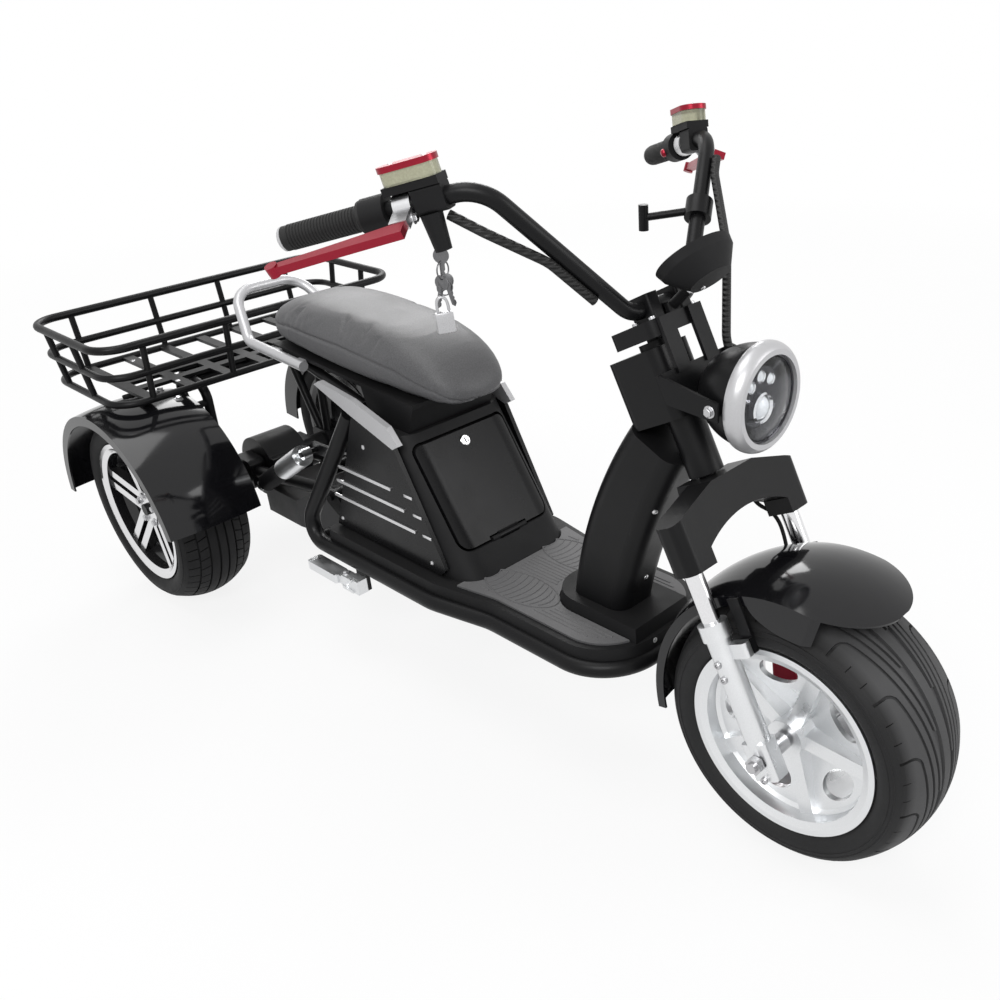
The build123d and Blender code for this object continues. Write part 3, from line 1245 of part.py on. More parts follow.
# Rear fenders: crowned, with a flange beside the tyre and an outer lip
fender_low = AXLE_Z - REAR_FENDER_DROP
rear_fender_axis = Axis(behind(0, 0, fender_low), (0, 1, 0))
crown_y = (REAR_FENDER_INNER + REAR_FENDER_OUTER) / 2
with BuildPart() as rear_fender:
    with BuildSketch(spoke_plane(behind(0, 0, fender_low), REAR_FENDER_BACK)):
        with BuildLine():
            skin = FENDER_T
            inner = REAR_FENDER_INNER
            outer = REAR_FENDER_OUTER
            edge = REAR_FENDER_R - 10
            Polyline((FLANGE_LOW_R, -inner), (edge, -inner))
            ThreePointArc((edge, -inner), (REAR_FENDER_R, -crown_y), (edge, -outer))
            Polyline((edge, -outer), (edge - LIP_H, -outer), (edge - LIP_H, skin - outer), (edge - skin, skin - outer))
            ThreePointArc((edge - skin, skin - outer), (REAR_FENDER_R - skin, -crown_y), (edge - skin, -inner - skin))
            Polyline((edge - skin, -inner - skin), (FLANGE_LOW_R, -inner - skin), (FLANGE_LOW_R, -inner))
        make_face()
    revolve(axis=rear_fender_axis, revolution_arc=REAR_FENDER_BACK - REAR_FENDER_FRONT)
save(rear_fender.part, "rear_fender_right")
save(flip(rear_fender.part), "rear_fender_left")

# Basket: three loops and uprights, parted at the corners into flat grilles, over a slatted floor
basket_front = BASKET_FRONT - BASKET_RAIL_R
basket_back = BASKET_RAIL_R - BASKET_REACH
basket_half = BASKET_HALF - BASKET_RAIL_R
basket_mid = (BASKET_LOW + BASKET_HIGH) / 2


def draw_in(z):
    """How far the leaning walls stand in from the top rail at a height."""
    return BASKET_LEAN * (BASKET_HIGH - z) / (BASKET_HIGH - BASKET_LOW)


def end_hoop(wall_x, inward, z, radius):
    """A front or back tube with its two rounded corners."""
    half = basket_half - draw_in(z)
    x = wall_x + inward * draw_in(z)
    tail = x + inward * (BASKET_CORNER + BASKET_TAIL)
    points = [behind(tail, -half, z), behind(x, -half, z), behind(x, half, z), behind(tail, half, z)]
    return tube(points, [BASKET_CORNER, BASKET_CORNER], radius)


def side_tube(z, radius):
    """The straight tube of the right-hand wall between the corners."""
    reach = draw_in(z) + BASKET_CORNER + BASKET_TAIL
    y = draw_in(z) - basket_half
    return rod(behind(basket_back + reach, y, z), behind(basket_front - reach, y, z), radius)


def upright(top_x, top_y, low_x, low_y):
    return rod(behind(low_x, low_y, BASKET_LOW), behind(top_x, top_y, BASKET_HIGH), POST_R)


LOOPS = ((BASKET_LOW, BASKET_WIRE_R), (basket_mid, BASKET_WIRE_R), (BASKET_HIGH, BASKET_RAIL_R))
for name, wall_x, inward in (("front", basket_front, -1), ("back", basket_back, 1)):
    hoops = [end_hoop(wall_x, inward, z, r) for z, r in LOOPS]
    posts = [upright(wall_x, y, wall_x + inward * BASKET_LEAN, y) for y in BASKET_POSTS_Y]
    with BuildPart() as grille:
        for one in hoops + posts:
            add(one)
    save(grille.part, f"basket_{name}")
side_tubes = [side_tube(z, r) for z, r in LOOPS]
side_posts = [upright(x, -basket_half, x, BASKET_LEAN - basket_half) for x in BASKET_POSTS_X]
with BuildPart() as side_grille:
    for one in side_tubes + side_posts:
        add(one)
save(pair(side_grille.part), "basket_sides")
slat_end = BASKET_LEAN + BASKET_WIRE_R + FIT
with BuildPart() as basket_floor:
    for k in range(SLAT_COUNT):
        y = SLAT_PITCH * (k - (SLAT_COUNT - 1) / 2)
        with BuildSketch(Plane.XY.offset(BASKET_LOW - SLAT_T / 2)):
            with Locations((REAR_X + (basket_front + basket_back) / 2, y)):
                Rectangle(basket_front - basket_back - 2 * slat_end, SLAT_W)
        extrude(amount=SLAT_T)
    for x in CARRIER_TIES:
        with BuildSketch(Plane.XY.offset(BASKET_LOW - SLAT_T / 2)):
            with Locations((REAR_X + x, 0)):
                Rectangle(SLAT_W, SLAT_PITCH * (SLAT_COUNT - 1))
        extrude(amount=SLAT_T)
save(basket_floor.part, "basket_floor")

# Folding pegs below the frame rail, each on an upright pin
peg_pivot = behind(PEG_X - PEG_BACK, -PEG_Y, PEG_Z)
plate_out = RAIL_BACK_Y + 12
with BuildPart() as peg_mount:
    with BuildSketch(Plane.XY.offset(PEG_Z - PEG_T / 2 - EAR_T)):
        with Locations((REAR_X + PEG_X, -(plate_out + PEG_BLOCK_Y) / 2)):
            Rectangle(PEG_W, PEG_BLOCK_Y - plate_out)
    extrude(amount=PEG_T + 2 * EAR_T)
    for z in (PEG_Z - PEG_T / 2 - EAR_T, PEG_Z + PEG_T / 2):
        with BuildSketch(Plane.XY.offset(z)):
            with Locations((peg_pivot.X, -PEG_Y)):
                Circle(EAR_R)
            with Locations((peg_pivot.X + PEG_BACK / 2, -PEG_Y)):
                Rectangle(PEG_BACK, 2 * EAR_R)
        extrude(amount=EAR_T)
    with BuildSketch(Plane.XY.offset(PEG_Z - PEG_T / 2 - EAR_T)):
        with Locations((peg_pivot.X, -PEG_Y)):
            Circle(PEG_PIN_R)
    extrude(amount=PEG_T + 2 * EAR_T)
save(pair(peg_mount.part), "peg_mounts")
with BuildPart() as peg:
    with BuildSketch(Plane.XY.offset(PEG_Z - PEG_T / 2 + FIT)):
        with Locations((peg_pivot.X, -PEG_Y)):
            Circle(EAR_R - 2)
        with Locations((peg_pivot.X - PEG_START, -PEG_Y)):
            Rectangle(2 * PEG_START, 2 * EAR_R - 4)
    extrude(amount=PEG_T - 2 * FIT)
    with BuildSketch(Plane.XY.offset(PEG_Z - PEG_T / 2)):
        with Locations((peg_pivot.X - PEG_START - PEG_L / 2, -PEG_Y)):
            RectangleRounded(PEG_L, PEG_W, 6)
    extrude(amount=PEG_T)
    with BuildSketch(Plane.XY.offset(PEG_Z - PEG_T)):
        with Locations((peg_pivot.X, -PEG_Y)):
            Circle(PEG_PIN_R + RUN)
    extrude(amount=2 * PEG_T, mode=Mode.SUBTRACT)
save(peg.part, "peg_right")
save(flip(peg.part), "peg_left")
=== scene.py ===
from math import atan2, cos, exp, hypot, pi, radians, sin, sqrt

import bpy
from mathutils import Matrix, Vector


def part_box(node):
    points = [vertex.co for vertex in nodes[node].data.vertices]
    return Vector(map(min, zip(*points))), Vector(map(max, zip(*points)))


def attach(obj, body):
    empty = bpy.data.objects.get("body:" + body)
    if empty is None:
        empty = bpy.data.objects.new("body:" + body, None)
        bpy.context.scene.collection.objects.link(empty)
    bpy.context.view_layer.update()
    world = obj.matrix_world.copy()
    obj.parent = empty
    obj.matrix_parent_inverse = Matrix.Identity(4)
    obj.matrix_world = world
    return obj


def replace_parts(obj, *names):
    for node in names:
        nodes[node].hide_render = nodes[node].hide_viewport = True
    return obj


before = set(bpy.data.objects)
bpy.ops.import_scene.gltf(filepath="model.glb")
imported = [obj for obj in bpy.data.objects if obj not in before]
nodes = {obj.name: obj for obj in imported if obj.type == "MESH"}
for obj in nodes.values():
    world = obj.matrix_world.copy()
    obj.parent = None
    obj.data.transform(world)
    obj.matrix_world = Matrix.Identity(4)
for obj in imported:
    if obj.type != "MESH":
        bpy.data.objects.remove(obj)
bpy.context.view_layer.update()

REAR_X = -0.769
FRONT_X = 0.831
AXLE_Z = 0.238
HALF_TRACK = 0.29
REAR_SIDES = (("right", -HALF_TRACK), ("left", HALF_TRACK))


# Shader nodes, and the groups that the finishes share

def add_node(tree, kind, values=None, operation=None, data_type=None):
    """A shader node with its mode and its input values set."""
    node = tree.nodes.new(kind)
    if operation:
        node.operation = operation
    if data_type:
        node.data_type = data_type
    for socket, value in (values or {}).items():
        node.inputs[socket].default_value = value
    return node


def math_node(tree, operation, *terms):
    """The result of one operation on sockets and numbers."""
    node = add_node(tree, "ShaderNodeMath", operation=operation)
    for socket, term in zip(node.inputs, terms):
        if isinstance(term, (int, float)):
            socket.default_value = term
        else:
            tree.links.new(term, socket)
    return node.outputs["Value"]


def new_group(name, inputs, outputs):
    group = bpy.data.node_groups.new(name, "ShaderNodeTree")
    for label, kind, value in inputs:
        socket = group.interface.new_socket(label, in_out="INPUT", socket_type=kind)
        if value is not None:
            socket.default_value = value
    for label, kind in outputs:
        group.interface.new_socket(label, in_out="OUTPUT", socket_type=kind)
    start = group.nodes.new("NodeGroupInput")
    end = group.nodes.new("NodeGroupOutput")
    return group, start, end


def make_grain():
    """Fine surface grain over slow blotches, both from 0 to 1."""
    group, start, end = new_group(
        "surface_grain",
        [("Vector", "NodeSocketVector", None), ("Scale", "NodeSocketFloat", 400.0)],
        [("Grain", "NodeSocketFloat"), ("Blotch", "NodeSocketFloat")])
    fine = add_node(group, "ShaderNodeTexNoise", {"Detail": 4})
    slow = add_node(group, "ShaderNodeTexNoise", {"Scale": 9, "Detail": 5, "Roughness": 0.62})
    group.links.new(start.outputs["Vector"], fine.inputs["Vector"])
    group.links.new(start.outputs["Vector"], slow.inputs["Vector"])
    group.links.new(start.outputs["Scale"], fine.inputs["Scale"])
    group.links.new(fine.outputs["Fac"], end.inputs["Grain"])
    group.links.new(slow.outputs["Fac"], end.inputs["Blotch"])
    return group


def make_dust():
    """A thin film of dust that lies on faces that look up."""
    group, start, end = new_group(
        "dust_film",
        [("Color", "NodeSocketColor", None), ("Normal", "NodeSocketVector", None),
         ("Blotch", "NodeSocketFloat", 0.5), ("Amount", "NodeSocketFloat", 0.1)],
        [("Color", "NodeSocketColor")])
    split = add_node(group, "ShaderNodeSeparateXYZ")
    upward = add_node(group, "ShaderNodeMapRange", {"From Min": 0.2})
    mix = add_node(group, "ShaderNodeMix", {"B": (0.42, 0.4, 0.37, 1)}, data_type="RGBA")
    group.links.new(start.outputs["Normal"], split.inputs["Vector"])
    group.links.new(split.outputs["Z"], upward.inputs["Value"])
    cover = math_node(group, "MULTIPLY", upward.outputs["Result"], start.outputs["Blotch"])
    share = math_node(group, "MULTIPLY", cover, start.outputs["Amount"])
    group.links.new(share, mix.inputs["Factor"])
    group.links.new(start.outputs["Color"], mix.inputs["A"])
    group.links.new(mix.outputs["Result"], end.inputs["Color"])
    return group


GRAIN = make_grain()
DUST = make_dust()
GRAIN_DEPTH = 0.0004
NOISE_LOW, NOISE_HIGH = 0.3, 0.7


class Finish:
    """A material with its Principled shader, object coordinates and grain ready to be wired."""

    def __init__(self, name, color, rough, metal=0.0, grain=400.0, bump=0.05, dust=0.04, tone=0.25, shine=0.5):
        self.material = bpy.data.materials.new(name)
        self.material.use_nodes = True
        self.tree = self.material.node_tree
        self.shader = self.tree.nodes["Principled BSDF"]
        self.set(Metallic=metal, Specular_IOR_Level=shine)
        self.place = self.add("ShaderNodeTexCoord")
        self.grain = self.add("ShaderNodeGroup")
        self.grain.node_tree = GRAIN
        self.grain.inputs["Scale"].default_value = grain
        self.link(self.place.outputs["Object"], self.grain.inputs["Vector"])
        spread = self.add("ShaderNodeMapRange", {"From Min": NOISE_LOW, "From Max": NOISE_HIGH,
                                                 "To Min": rough[0], "To Max": rough[1]})
        self.link(self.grain.outputs["Blotch"], spread.inputs["Value"])
        self.link(spread.outputs["Result"], self.shader.inputs["Roughness"])
        ramp = self.add("ShaderNodeValToRGB")
        dark, light = ramp.color_ramp.elements
        dark.position, light.position = NOISE_LOW, NOISE_HIGH
        dark.color = (*[c * (1 - tone) for c in color], 1)
        light.color = (*[min(1, c * (1 + tone)) for c in color], 1)
        self.link(self.grain.outputs["Grain"], ramp.inputs["Fac"])
        self.film = self.add("ShaderNodeGroup")
        self.film.node_tree = DUST
        self.film.inputs["Amount"].default_value = dust
        self.link(ramp.outputs["Color"], self.film.inputs["Color"])
        self.link(self.place.outputs["Normal"], self.film.inputs["Normal"])
        self.link(self.grain.outputs["Blotch"], self.film.inputs["Blotch"])
        self.link(self.film.outputs["Color"], self.shader.inputs["Base Color"])
        self.bump = self.emboss(self.grain.outputs["Grain"], bump, GRAIN_DEPTH)

    def add(self, kind, values=None, operation=None, data_type=None):
        return add_node(self.tree, kind, values, operation, data_type)

    def link(self, source, target):
        self.tree.links.new(source, target)

    def set(self, **sockets):
        for name, value in sockets.items():
            self.shader.inputs[name.replace("_", " ")].default_value = value

    def emboss(self, height, strength, distance, under=None):
        """Relief on the shader's normal, over an earlier relief where one is named."""
        relief = self.add("ShaderNodeBump", {"Strength": strength, "Distance": distance})
        self.link(height, relief.inputs["Height"])
        if under is not None:
            self.link(under.outputs["Normal"], relief.inputs["Normal"])
        self.link(relief.outputs["Normal"], self.shader.inputs["Normal"])
        return relief

    def paint_over(self, mask, color):
        """Another colour where the mask is 1."""
        mix = self.add("ShaderNodeMix", {"B": (*color, 1)}, data_type="RGBA")
        self.link(mask, mix.inputs["Factor"])
        self.link(self.film.outputs["Color"], mix.inputs["A"])
        self.link(mix.outputs["Result"], self.shader.inputs["Base Color"])


tyre_rubber = Finish("tyre_rubber", (0.008, 0.008, 0.0085), (0.55, 0.75), grain=700, bump=0.25, dust=0.012, shine=0.17)
worn_rubber = Finish("worn_rubber", (0.012, 0.012, 0.0125), (0.55, 0.75), grain=700, bump=0.25, dust=0.03, shine=0.25)
panel_black = Finish("panel_black", (0.006, 0.006, 0.0065), (0.2, 0.32), grain=700, bump=0.04, dust=0.012, shine=0.15)
cast_silver = Finish("cast_silver", (0.74, 0.75, 0.76), (0.24, 0.42), 1.0, grain=900, bump=0.12, dust=0.03, tone=0.06)
machined_black = Finish("machined_black", (0.008, 0.008, 0.009), (0.12, 0.24), grain=600, bump=0.03)
brushed_steel = Finish("brushed_steel", (0.5, 0.5, 0.51), (0.26, 0.4), 1.0, grain=700, bump=0.06, tone=0.1)
chrome_plate = Finish("chrome_plate", (0.78, 0.78, 0.79), (0.06, 0.16), 1.0, grain=500, bump=0.01, tone=0.04)
satin_black = Finish("satin_black", (0.005, 0.005, 0.0055), (0.3, 0.44), grain=1400, bump=0.1, dust=0.006, shine=0.17)
gloss_black = Finish("gloss_black", (0.004, 0.004, 0.005), (0.06, 0.16), grain=300, bump=0.012, dust=0.012, shine=0.4)
matt_plastic = Finish("matt_plastic", (0.007, 0.007, 0.0075), (0.5, 0.66), grain=1600, bump=0.2, dust=0.01, shine=0.17)
grip_rubber = Finish("grip_rubber", (0.01, 0.01, 0.01), (0.55, 0.72), grain=1200, bump=0.2, dust=0.02, shine=0.3)
mat_rubber = Finish("mat_rubber", (0.11, 0.11, 0.113), (0.6, 0.78), grain=1500, bump=0.3, dust=0.1, shine=0.3)
red_anodised = Finish("red_anodised", (0.28, 0.006, 0.022), (0.24, 0.38), 0.6, grain=900, bump=0.04, tone=0.12)
bare_alloy = Finish("bare_alloy", (0.66, 0.66, 0.67), (0.26, 0.4), 1.0, grain=1000, bump=0.05, tone=0.06)
pale_silver = Finish("pale_silver", (0.5, 0.5, 0.51), (0.3, 0.42), 0.5, grain=900, bump=0.03, tone=0.06)
motor_grey = Finish("motor_grey", (0.016, 0.016, 0.017), (0.4, 0.6), grain=900, bump=0.2)
loom_sleeve = Finish("loom_sleeve", (0.012, 0.012, 0.012), (0.4, 0.55), grain=800, bump=0.1, shine=0.3)
seat_leather = Finish("seat_leather", (0.08, 0.08, 0.083), (0.38, 0.52), grain=500, bump=0.1, dust=0.05, shine=0.4)
reflector_dark = Finish("reflector_dark", (0.045, 0.045, 0.05), (0.12, 0.22), 1.0, grain=500, bump=0.02, tone=0.1)
lens_white = Finish("lens_white", (0.8, 0.82, 0.84), (0.05, 0.12), grain=300, bump=0.01, tone=0.05)
lens_white.set(Coat_Weight=0.5)
key_steel = Finish("key_steel", (0.16, 0.16, 0.165), (0.28, 0.42), 1.0, grain=700, bump=0.06, tone=0.15)
clear_glass = Finish("clear_glass", (0.96, 0.97, 0.98), (0.01, 0.04), grain=200, bump=0.004, dust=0.0, tone=0.01)
clear_glass.set(Transmission_Weight=1.0, IOR=1.2)
fluid_pot = Finish("fluid_pot", (0.5, 0.5, 0.36), (0.08, 0.16), grain=300, bump=0.01, dust=0.01, tone=0.1)
fluid_pot.set(Transmission_Weight=0.6, IOR=1.3)

# Leather pores and the turns of the loom sleeve
pores = seat_leather.add("ShaderNodeTexVoronoi", {"Scale": 420})
pores.feature = "DISTANCE_TO_EDGE"
seat_leather.link(seat_leather.place.outputs["Object"], pores.inputs["Vector"])
seat_leather.emboss(pores.outputs["Distance"], 0.35, 0.0006, seat_leather.bump)
turns = loom_sleeve.add("ShaderNodeTexWave", {"Scale": 45})
turns.bands_direction = "Z"
loom_sleeve.link(loom_sleeve.place.outputs["Object"], turns.inputs["Vector"])
loom_sleeve.emboss(turns.outputs["Fac"], 0.8, 0.002)

# The front tyre pales where it rolls, from a distance off its axle
from_axle = worn_rubber.add("ShaderNodeVectorMath", {1: (FRONT_X, 0, AXLE_Z)}, "SUBTRACT")
flatten = worn_rubber.add("ShaderNodeVectorMath", {1: (1, 0, 1)}, "MULTIPLY")
distance = worn_rubber.add("ShaderNodeVectorMath", operation="LENGTH")
worn = worn_rubber.add("ShaderNodeMapRange", {"From Min": 0.216, "From Max": 0.224})
worn_rubber.link(worn_rubber.place.outputs["Object"], from_axle.inputs[0])
worn_rubber.link(from_axle.outputs["Vector"], flatten.inputs[0])
worn_rubber.link(flatten.outputs["Vector"], distance.inputs[0])
worn_rubber.link(distance.outputs["Value"], worn.inputs["Value"])
worn_rubber.paint_over(worn.outputs["Result"], (0.06, 0.06, 0.061))

# The rear rims are cut bright on flat faces that look outward
where = machined_black.add("ShaderNodeSeparateXYZ")
facing = machined_black.add("ShaderNodeSeparateXYZ")
machined_black.link(machined_black.place.outputs["Object"], where.inputs["Vector"])
machined_black.link(machined_black.place.outputs["Normal"], facing.inputs["Vector"])
outside, flat = (math_node(machined_black.tree, "GREATER_THAN",
                           math_node(machined_black.tree, "ABSOLUTE", axis.outputs["Y"]), least)
                 for axis, least in ((where, 0.3), (facing, 0.86)))
cut = math_node(machined_black.tree, "MULTIPLY", outside, flat)
machined_black.paint_over(cut, (0.72, 0.72, 0.73))
machined_black.link(cut, machined_black.shader.inputs["Metallic"])

FINISHES = {
    "front_tyre": tyre_rubber, "rear_tyre_right": tyre_rubber, "rear_tyre_left": tyre_rubber,
    "front_rim": cast_silver, "fork_legs": cast_silver, "peg_mounts": cast_silver, "peg_right": cast_silver,
    "peg_left": cast_silver, "shock_bodies": cast_silver,
    "rear_rim_right": machined_black, "rear_rim_left": machined_black,
    "front_brake_disc": brushed_steel, "front_axle": brushed_steel, "rear_axle": satin_black,
    "fork_stanchions": chrome_plate, "lamp_ring": pale_silver, "panel_strips": bare_alloy,
    "front_fender": gloss_black, "rear_fender_right": gloss_black, "rear_fender_left": gloss_black,
    "lamp_bowl": satin_black, "side_panels": panel_black, "battery_door": panel_black,
    "battery_box": matt_plastic, "instrument_pod": matt_plastic, "seat_base": matt_plastic, "deck_pan": matt_plastic,
    "battery_pack": matt_plastic, "control_pods": matt_plastic, "grips": grip_rubber, "floor_mat": mat_rubber,
    "levers": red_anodised, "reservoir_caps": red_anodised, "front_caliper": red_anodised, "perches": bare_alloy,
    "grab_rail": pale_silver, "seat_trims": pale_silver, "drive_motor": motor_grey, "cable_looms": loom_sleeve,
    "seat": seat_leather, "lamp_glass": clear_glass, "reservoirs": fluid_pot,
}
for name, node in nodes.items():
    chosen = FINISHES.get(name, satin_black).material
    node.data.materials.clear()
    node.data.materials.append(chosen)


# Bench tools: everything starts as a primitive and is shaped in edit mode

def fresh(name, kind, **settings):
    """A new primitive with nothing else selected."""
    bpy.ops.object.select_all(action="DESELECT")
    getattr(bpy.ops.mesh, "primitive_" + kind + "_add")(**settings)
    piece = bpy.context.object
    piece.name = name
    return piece


def drawn_line(name, points):
    """A plane merged to one vertex and drawn out along the points; stays in edit mode."""
    piece = fresh(name, "plane", size=0.01)
    bpy.ops.object.mode_set(mode="EDIT")
    bpy.ops.mesh.select_mode(type="VERT")
    bpy.ops.mesh.merge(type="CENTER")
    last = Vector((0, 0, 0))
    for k, point in enumerate(points):
        step = Vector(point) - last
        if k == 0:
            bpy.ops.transform.translate(value=step)
        else:
            bpy.ops.mesh.extrude_vertices_move(TRANSFORM_OT_translate={"value": step})
        last = Vector(point)
    bpy.ops.mesh.select_all(action="SELECT")
    return piece


def aimed(place, axis):
    """The matrix that sets +Z along the axis at a place."""
    return Matrix.Translation(Vector(place)) @ Vector(axis).normalized().to_track_quat("Z", "Y").to_matrix().to_4x4()


def lathe(name, profile, place=(0, 0, 0), axis=(0, 0, 1), steps=32):
    """Spin (along, radius) points round the axis."""
    piece = drawn_line(name, [(radius, 0, along) for along, radius in profile])
    bpy.ops.mesh.spin(steps=steps, angle=2 * pi, center=(0, 0, 0), axis=(0, 0, 1))
    bpy.ops.mesh.select_all(action="SELECT")
    bpy.ops.mesh.remove_doubles(threshold=0.00001)
    bpy.ops.mesh.normals_make_consistent(inside=False)
    bpy.ops.object.mode_set(mode="OBJECT")
    piece.data.transform(aimed(place, axis))
    return piece


def apply_all(piece):
    bpy.context.view_layer.objects.active = piece
    for modifier in list(piece.modifiers):
        bpy.ops.object.modifier_apply(modifier=modifier.name)


def soften(piece, width, segments=2):
    """Round the sharp edges."""
    edge = piece.modifiers.new("edge", "BEVEL")
    edge.width = width
    edge.segments = segments
    edge.limit_method = "ANGLE"
    edge.angle_limit = radians(35)
    apply_all(piece)


def slab(name, outline, depth, spot=None, edge=0.0):
    """Fill an outline, draw it out to its depth and round its edges."""
    piece = drawn_line(name, [(x, y, 0) for x, y in outline])
    bpy.ops.mesh.edge_face_add()
    bpy.ops.mesh.extrude_region_move(TRANSFORM_OT_translate={"value": (0, 0, depth)})
    bpy.ops.mesh.select_all(action="SELECT")
    bpy.ops.mesh.normals_make_consistent(inside=False)
    bpy.ops.object.mode_set(mode="OBJECT")
    if edge:
        soften(piece, edge)
    if spot is not None:
        piece.data.transform(spot)
    return piece


def oval(across, along, count=24):
    return [(across * cos(2 * pi * k / count), along * sin(2 * pi * k / count)) for k in range(count)]


def oblong(across, along):
    return [(-across, -along), (across, -along), (across, along), (-across, along)]


def smooth_line(name, points, cyclic=False):
    """A smooth line near the points, as a curve."""
    bpy.ops.object.select_all(action="DESELECT")
    bpy.ops.curve.primitive_nurbs_path_add()
    piece = bpy.context.object
    piece.name = name
    piece.data.splines.clear()
    spline = piece.data.splines.new("NURBS")
    spline.points.add(len(points) - 1)
    for spot, point in zip(spline.points, points):
        spot.co = (*point, 1)
    spline.order_u = 3
    spline.use_endpoint_u = not cyclic
    spline.use_cyclic_u = cyclic
    return piece


def thicken(piece, radius, sides):
    piece.data.bevel_depth = radius
    piece.data.bevel_resolution = sides
    piece.data.use_fill_caps = True


def wire(name, points, radius, cyclic=False, sides=3):
    """A round bar along a smooth line, made a mesh."""
    thicken(smooth_line(name, points, cyclic), radius, sides)
    bpy.ops.object.convert(target="MESH")
    return bpy.context.object


def joined(name, pieces):
    bpy.ops.object.select_all(action="DESELECT")
    for piece in pieces:
        piece.select_set(True)
    bpy.context.view_layer.objects.active = pieces[0]
    if len(pieces) > 1:
        bpy.ops.object.join()
    pieces[0].name = name
    return pieces[0]


def settle(piece, body, finish, angle=35):
    """Smooth it, give it its finish and let it ride."""
    bpy.ops.object.select_all(action="DESELECT")
    piece.select_set(True)
    bpy.context.view_layer.objects.active = piece
    bpy.ops.object.shade_smooth_by_angle(angle=radians(angle))
    piece.data.materials.clear()
    piece.data.materials.append(finish.material)
    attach(piece, body)
    return piece


def copies(model, spots):
    """Copies of a model, each with its own mesh."""
    made = []
    for spot in spots:
        twin = model.copy()
        twin.data = model.data.copy()
        bpy.context.scene.collection.objects.link(twin)
        twin.data.transform(spot)
        made.append(twin)
    return made


def touch(node, start, aim):
    """Where a line from start meets a CAD node, and which way that face looks."""
    found, place, normal, _ = nodes[node].ray_cast(Vector(start), Vector(aim).normalized())
    if not found:
        raise ValueError("nothing of " + node + " lies along " + str(tuple(start)))
    return place, normal


# Camera of the photograph
AZIMUTH, ELEVATION, ROLL = radians(43.18), radians(29.5), radians(-2.32)
LENS, SENSOR, SHIFT_X, SHIFT_Y = 36.523, 36, -0.11743, 0.03867
back = Vector((sin(AZIMUTH) * cos(ELEVATION), -cos(AZIMUTH) * cos(ELEVATION), sin(ELEVATION)))
level = Vector((cos(AZIMUTH), sin(AZIMUTH), 0))
rise = back.cross(level)
right = level * cos(ROLL) + rise * sin(ROLL)
up = rise * cos(ROLL) - level * sin(ROLL)
eye = Vector((1.18612 + REAR_X, 0, 0.42302)) + back * 1.80787


def seen(node, px, py):
    """The place on a CAD node that the photograph shows at a pixel."""
    across = (px / 1000 - 0.5 + SHIFT_X) * SENSOR / LENS
    height = (0.5 - py / 1000 + SHIFT_Y) * SENSOR / LENS
    return touch(node, eye, right * across + up * height - back)


# Steering frame: u forward of the pivot line, v to the left, w up along it
RAKE = radians(27)
PIVOT = Vector((FRONT_X - 0.022 * cos(RAKE), 0, AXLE_Z - 0.022 * sin(RAKE)))
AHEAD = Vector((cos(RAKE), 0, sin(RAKE)))
ALONG = Vector((-sin(RAKE), 0, cos(RAKE)))


def steer(u, v, w):
    return PIVOT + AHEAD * u + Vector((0, v, 0)) + ALONG * w


# Tyres: a carcass with its tread raised on it in closed blocks

def circle_through(a, b, c):
    """Centre and radius of the circle through three points."""
    d = 2 * (a[0] * (b[1] - c[1]) + b[0] * (c[1] - a[1]) + c[0] * (a[1] - b[1]))
    squares = [p[0] ** 2 + p[1] ** 2 for p in (a, b, c)]
    x = (squares[0] * (b[1] - c[1]) + squares[1] * (c[1] - a[1]) + squares[2] * (a[1] - b[1])) / d
    y = (squares[0] * (c[0] - b[0]) + squares[1] * (a[0] - c[0]) + squares[2] * (b[0] - a[0])) / d
    return x, y, hypot(a[0] - x, a[1] - y)


class TyreShape:
    """The outer line of a tyre, as (half width, radius) at a distance from the crown."""

    def __init__(self, bead, bulge, shoulder, crown):
        self.bead, self.crown = bead, crown
        drop = crown - shoulder[1]
        self.arch = (shoulder[0] ** 2 + drop ** 2) / (2 * drop)
        self.edge = self.arch * atan2(shoulder[0], self.arch - drop)
        self.side = circle_through(bead, bulge, shoulder)
        self.start = atan2(shoulder[1] - self.side[1], shoulder[0] - self.side[0])
        stop = atan2(bead[1] - self.side[1], bead[0] - self.side[0])
        self.reach = self.edge + (self.start - stop) * self.side[2]

    def at(self, u, lift=0.0):
        if u <= self.edge:
            turn = u / self.arch
            return (self.arch + lift) * sin(turn), self.crown - self.arch + (self.arch + lift) * cos(turn)
        turn = self.start - (u - self.edge) / self.side[2]
        return self.side[0] + (self.side[2] + lift) * cos(turn), self.side[1] + (self.side[2] + lift) * sin(turn)


WALL = 0.0008
STEP_U = 0.006


def carcass(name, shape, hub, lifts, steps=120):
    """The tyre's body: its outer line, lowered under the tread, spun round the axle."""
    half = []
    u = 0.0
    while u < shape.reach:
        half.append(u)
        u += STEP_U
    half.append(shape.reach)
    edges = [edge for low, high, lift in lifts for edge in (low, low + WALL, high - WALL, high)]
    stations = sorted(set(half + edges))

    def lift_at(u):
        for low, high, lift in lifts:
            if low < u < high:
                return lift
        return 0.0

    line = [shape.at(u, lift_at(u)) for u in stations if u <= shape.reach]
    points = [(-y, r) for y, r in reversed(line)] + [(y, r) for y, r in line[1:]]
    points.append(points[0])
    return lathe(name, points, hub, (0, 1, 0), steps)


